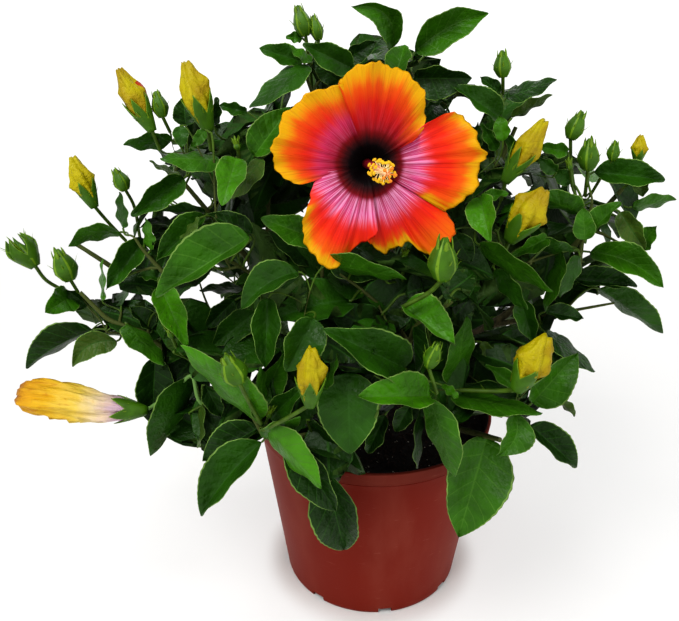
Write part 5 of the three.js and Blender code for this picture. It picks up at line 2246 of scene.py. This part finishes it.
class HIBISCUS_OT_open_flower(Operator):
    """Open the flower: five ruffled petals, the column, its anthers and the calyx"""

    bl_idname = "hibiscus.open_flower"
    bl_label = "Open Flower"

    def execute(self, context):
        settings = context.scene.hibiscus_flower
        for name in PETALS:
            settle(make_petal(name, settings), "petal", "open_flower")
        self.make_column(settings)
        calyx = FLOWER["calyx"]
        base = THROAT - FLOWER_WAY * calyx * MM
        levels = (0, 6, 14, calyx * 0.8)
        widths = (2.4, 5.5, 7, 8)
        make_calyx(
            "open_flower_calyx", context, "open_flower", base, FLOWER_WAY, levels, widths, (12, 1.8, 3)
        )
        return {"FINISHED"}

    def make_column(self, settings):
        route = column_route()
        radii = np.interp(share_of(len(route)), *zip(*COLUMN_WIDTHS)) * MM
        column = route_skin("column", route, radii, COLUMN_CORNERS, [column_material()])
        settle(column, "petal", "open_flower")
        bearing = radii[THREADS_FROM:] * THREAD_FOOT
        outer = route_skin("column_outer", route[THREADS_FROM:], bearing, THREAD_CORNERS, [])
        pale = settings.filament
        thread = plain_material("anther_thread", pale, pale, 300.0, 0.5, 0.05 * MM)
        red, green, blue, _ = settings.anther
        shade = (red * 0.9, green * 0.75, blue * 0.6, 1.0)
        pollen = plain_material("pollen", settings.anther, shade, 1400.0, 0.75, 0.2 * MM)
        dress = {"Density": 150000.0, "Length": 0.0046, "Seed": 5, "Size": settings.anther_size}
        for name, tree in (
            ("anther_threads", filament_tree(thread)),
            ("anther_heads", anther_tree(pollen)),
        ):
            settle(grown(name, outer.data.copy(), tree, dress), "petal", "open_flower")
        bpy.data.objects.remove(outer)
        finish = plain_material("stigma", settings.stigma, settings.stigma, 600.0, 0.6, 0.15 * MM)
        assembly = Assembly()
        way = unit(route[-1] - route[-4])
        side, other = frame_across(way)
        foot = route[-1] - way * MM
        for number in range(STYLES):
            angle = number * 2 * pi / STYLES + 0.5
            outward = side * cos(angle) + other * sin(angle)
            style = unit(way * 0.8 + outward * 0.75)
            for start, size, width, swell in STYLE_PARTS:
                rings = []
                for share in np.linspace(0.08, 0.92, 6):
                    reach = np.full(STIGMA_CORNERS, share * size * MM)
                    rings.append((reach, np.full(STIGMA_CORNERS, width * MM * sin(pi * share) ** swell)))
                base = foot + style * start * MM
                add_skin(assembly, base, style, rings, lambda corner, level: 0)
        settle(assembly.piece("stigma_pads", [finish]), "petal", "open_flower")


SPENT_ROUTE = ((-177, -108, 221), (-206, -108, 222), (-240, -106, 226), (-272, -102, 228))
SPENT_RADII = ((0, 4), (0.08, 7), (0.2, 9.6), (0.4, 12), (0.6, 13.8), (0.8, 13.8), (0.95, 12), (1, 8))
SPENT_CUP = ((0, 2.2), (3, 4.4), (7, 5.6), (13, 7.8), (20, 9.8), (27, 11.2))
SPENT_CORNERS = 48
SPENT_POINTS = 44
# How far out the spent flower's stalk is, and its radius, in millimetres.
SPENT_STALK_OUT = -104
SPENT_STALK_RADIUS = 1.5


class HIBISCUS_OT_spent_flower(Operator):
    """Roll up the spent flower on its drooping stalk"""

    bl_idname = "hibiscus.spent_flower"
    bl_label = "Spent Flower"

    def execute(self, context):
        route = smooth_route(np.array(SPENT_ROUTE) * MM, SPENT_POINTS)
        angles = corner_angles(SPENT_CORNERS)
        radii = []
        for share in share_of(SPENT_POINTS):
            wound = (angles / (2 * pi) * 4 + share * 0.9) % 1.0
            folds = 0.1 * np.sin(7 * angles + 5 * share) + 0.07 * np.sin(13 * angles - 9 * share)
            crinkle = 0.03 * np.sin(23 * angles + 31 * share)
            size = np.interp(share, *zip(*SPENT_RADII))
            radii.append(size * (0.86 + 0.2 * wound**2 + folds + crinkle) * MM)
        finish = spent_material(context.scene.hibiscus_flower)
        piece = route_skin("spent_petals", route, radii, SPENT_CORNERS, [finish])
        settle(piece, "spent_petal", "spent_flower")
        way = unit(route[1] - route[0])
        foot = route[0] - way * 6 * MM
        cup = zip(*SPENT_CUP)
        make_calyx("spent_flower_calyx", context, "spent_flower", foot, way, *cup, (17, 2.4, 2.5))
        points = [sight(dots, SPENT_STALK_OUT) for dots in SPENT_STALK]
        stalk = smooth_route([foot + way * 3 * MM, *points[1:]], 24)
        start, way_out, _ = next(shrub_plan().skeleton.starts(points[-1]))
        link = arc(start, way_out * 12 * MM, points[-1], unit(stalk[-2] - stalk[-1]) * 12 * MM, 10)
        routes = [(each, np.full(len(each), SPENT_STALK_RADIUS * MM)) for each in (stalk, link)]
        tree = limb_skin_tree(bpy.data.materials["green_stalk"])
        stem = skinned("spent_flower_stalk", "spent_stalk", routes, tree, 9, 0.04 * MM)
        settle(stem, "green_stalk")
        return {"FINISHED"}


# The soft lights: where each stands, how broad it is and which power it has.
LIGHTS = {
    "key": ((-0.55, -0.9, 1.7), 0.9, "key_power"), "fill": ((1.3, -1.0, 0.9), 1.4, "fill_power"),
    "rim": ((0.4, 1.3, 1.4), 1.0, "fill_power"),
}
AIM = (0, 0, 0.3)
FLOOR_HALF = 60.0
FLOOR_LEVEL = -0.0005


class HIBISCUS_OT_stage(Operator):
    """Lay the plain floor and hang the soft lights"""

    bl_idname = "hibiscus.stage"
    bl_label = "Stage"

    def execute(self, context):
        settings = context.scene.hibiscus_stage
        corners = [
            (x * FLOOR_HALF, y * FLOOR_HALF, FLOOR_LEVEL) for x, y in ((-1, -1), (1, -1), (1, 1), (-1, 1))
        ]
        floor = mesh_piece("floor", corners, [(0, 1, 2, 3)], [floor_material(settings)])
        for name, (place, size, power) in LIGHTS.items():
            data = bpy.data.lights.new(name, "AREA")
            data.shape = "DISK"
            data.size = size
            data.energy = getattr(settings, power)
            lamp = placed(name, data)
            lamp.location = place
            lamp.rotation_euler = (Vector(AIM) - Vector(place)).to_track_quat("-Z", "Y").to_euler()
        world = bpy.data.worlds.new("surround")
        world.use_nodes = True
        world.node_tree.nodes.clear()
        web = Web(world.node_tree)
        upward = web.upward(web.node("ShaderNodeTexCoord"))
        strength = settings.surround - web.rise(upward, 0.3, 0.9) * (settings.surround - settings.sky)
        surround = web.node("ShaderNodeBackground", {0: (1.0, 1.0, 1.0, 1.0), 1: strength})
        web.node("ShaderNodeOutputWorld", {0: surround})
        context.scene.world = world
        context.scene.view_settings.view_transform = "Standard"
        context.scene.view_settings.look = "Medium High Contrast"
        return {"FINISHED"}


class HIBISCUS_PT_pieces(Panel):
    """Lists the pieces of the shrub"""

    bl_idname = "HIBISCUS_PT_pieces"
    bl_label = "Potted Hibiscus"
    bl_space_type = "VIEW_3D"
    bl_region_type = "UI"
    bl_category = "Hibiscus"

    def draw(self, context):
        for operator in OPERATORS:
            self.layout.operator(operator.bl_idname)
        for name in SETTINGS:
            box = self.layout.box()
            group = getattr(context.scene, name)
            for key in group.bl_rna.properties.keys():
                if key not in {"rna_type", "name"}:
                    box.prop(group, key)


SETTINGS = {
    "hibiscus_pot": PotSettings, "hibiscus_soil": SoilSettings, "hibiscus_limbs": LimbSettings,
    "hibiscus_leaves": LeafSettings, "hibiscus_buds": BudSettings, "hibiscus_flower": FlowerSettings,
    "hibiscus_stage": StageSettings,
}
OPERATORS = (
    HIBISCUS_OT_camera, HIBISCUS_OT_pot, HIBISCUS_OT_soil, HIBISCUS_OT_limbs, HIBISCUS_OT_twigs,
    HIBISCUS_OT_leaves, HIBISCUS_OT_buds, HIBISCUS_OT_open_flower, HIBISCUS_OT_spent_flower,
    HIBISCUS_OT_stage,
)
CLASSES = (*SETTINGS.values(), *OPERATORS, HIBISCUS_PT_pieces)


def register():
    for each in CLASSES:
        bpy.utils.register_class(each)
    for name, group in SETTINGS.items():
        setattr(Scene, name, PointerProperty(type=group))


def unregister():
    for name in SETTINGS:
        delattr(Scene, name)
    for each in reversed(CLASSES):
        bpy.utils.unregister_class(each)


def main():
    register()
    bpy.ops.hibiscus.camera()
    bpy.ops.hibiscus.pot()
    bpy.ops.hibiscus.soil()
    bpy.ops.hibiscus.limbs()
    bpy.ops.hibiscus.twigs()
    bpy.ops.hibiscus.leaves()
    bpy.ops.hibiscus.buds()
    bpy.ops.hibiscus.open_flower()
    bpy.ops.hibiscus.spent_flower()
    bpy.ops.hibiscus.stage()
    bpy.context.view_layer.update()


if __name__ == "__main__":
    main()
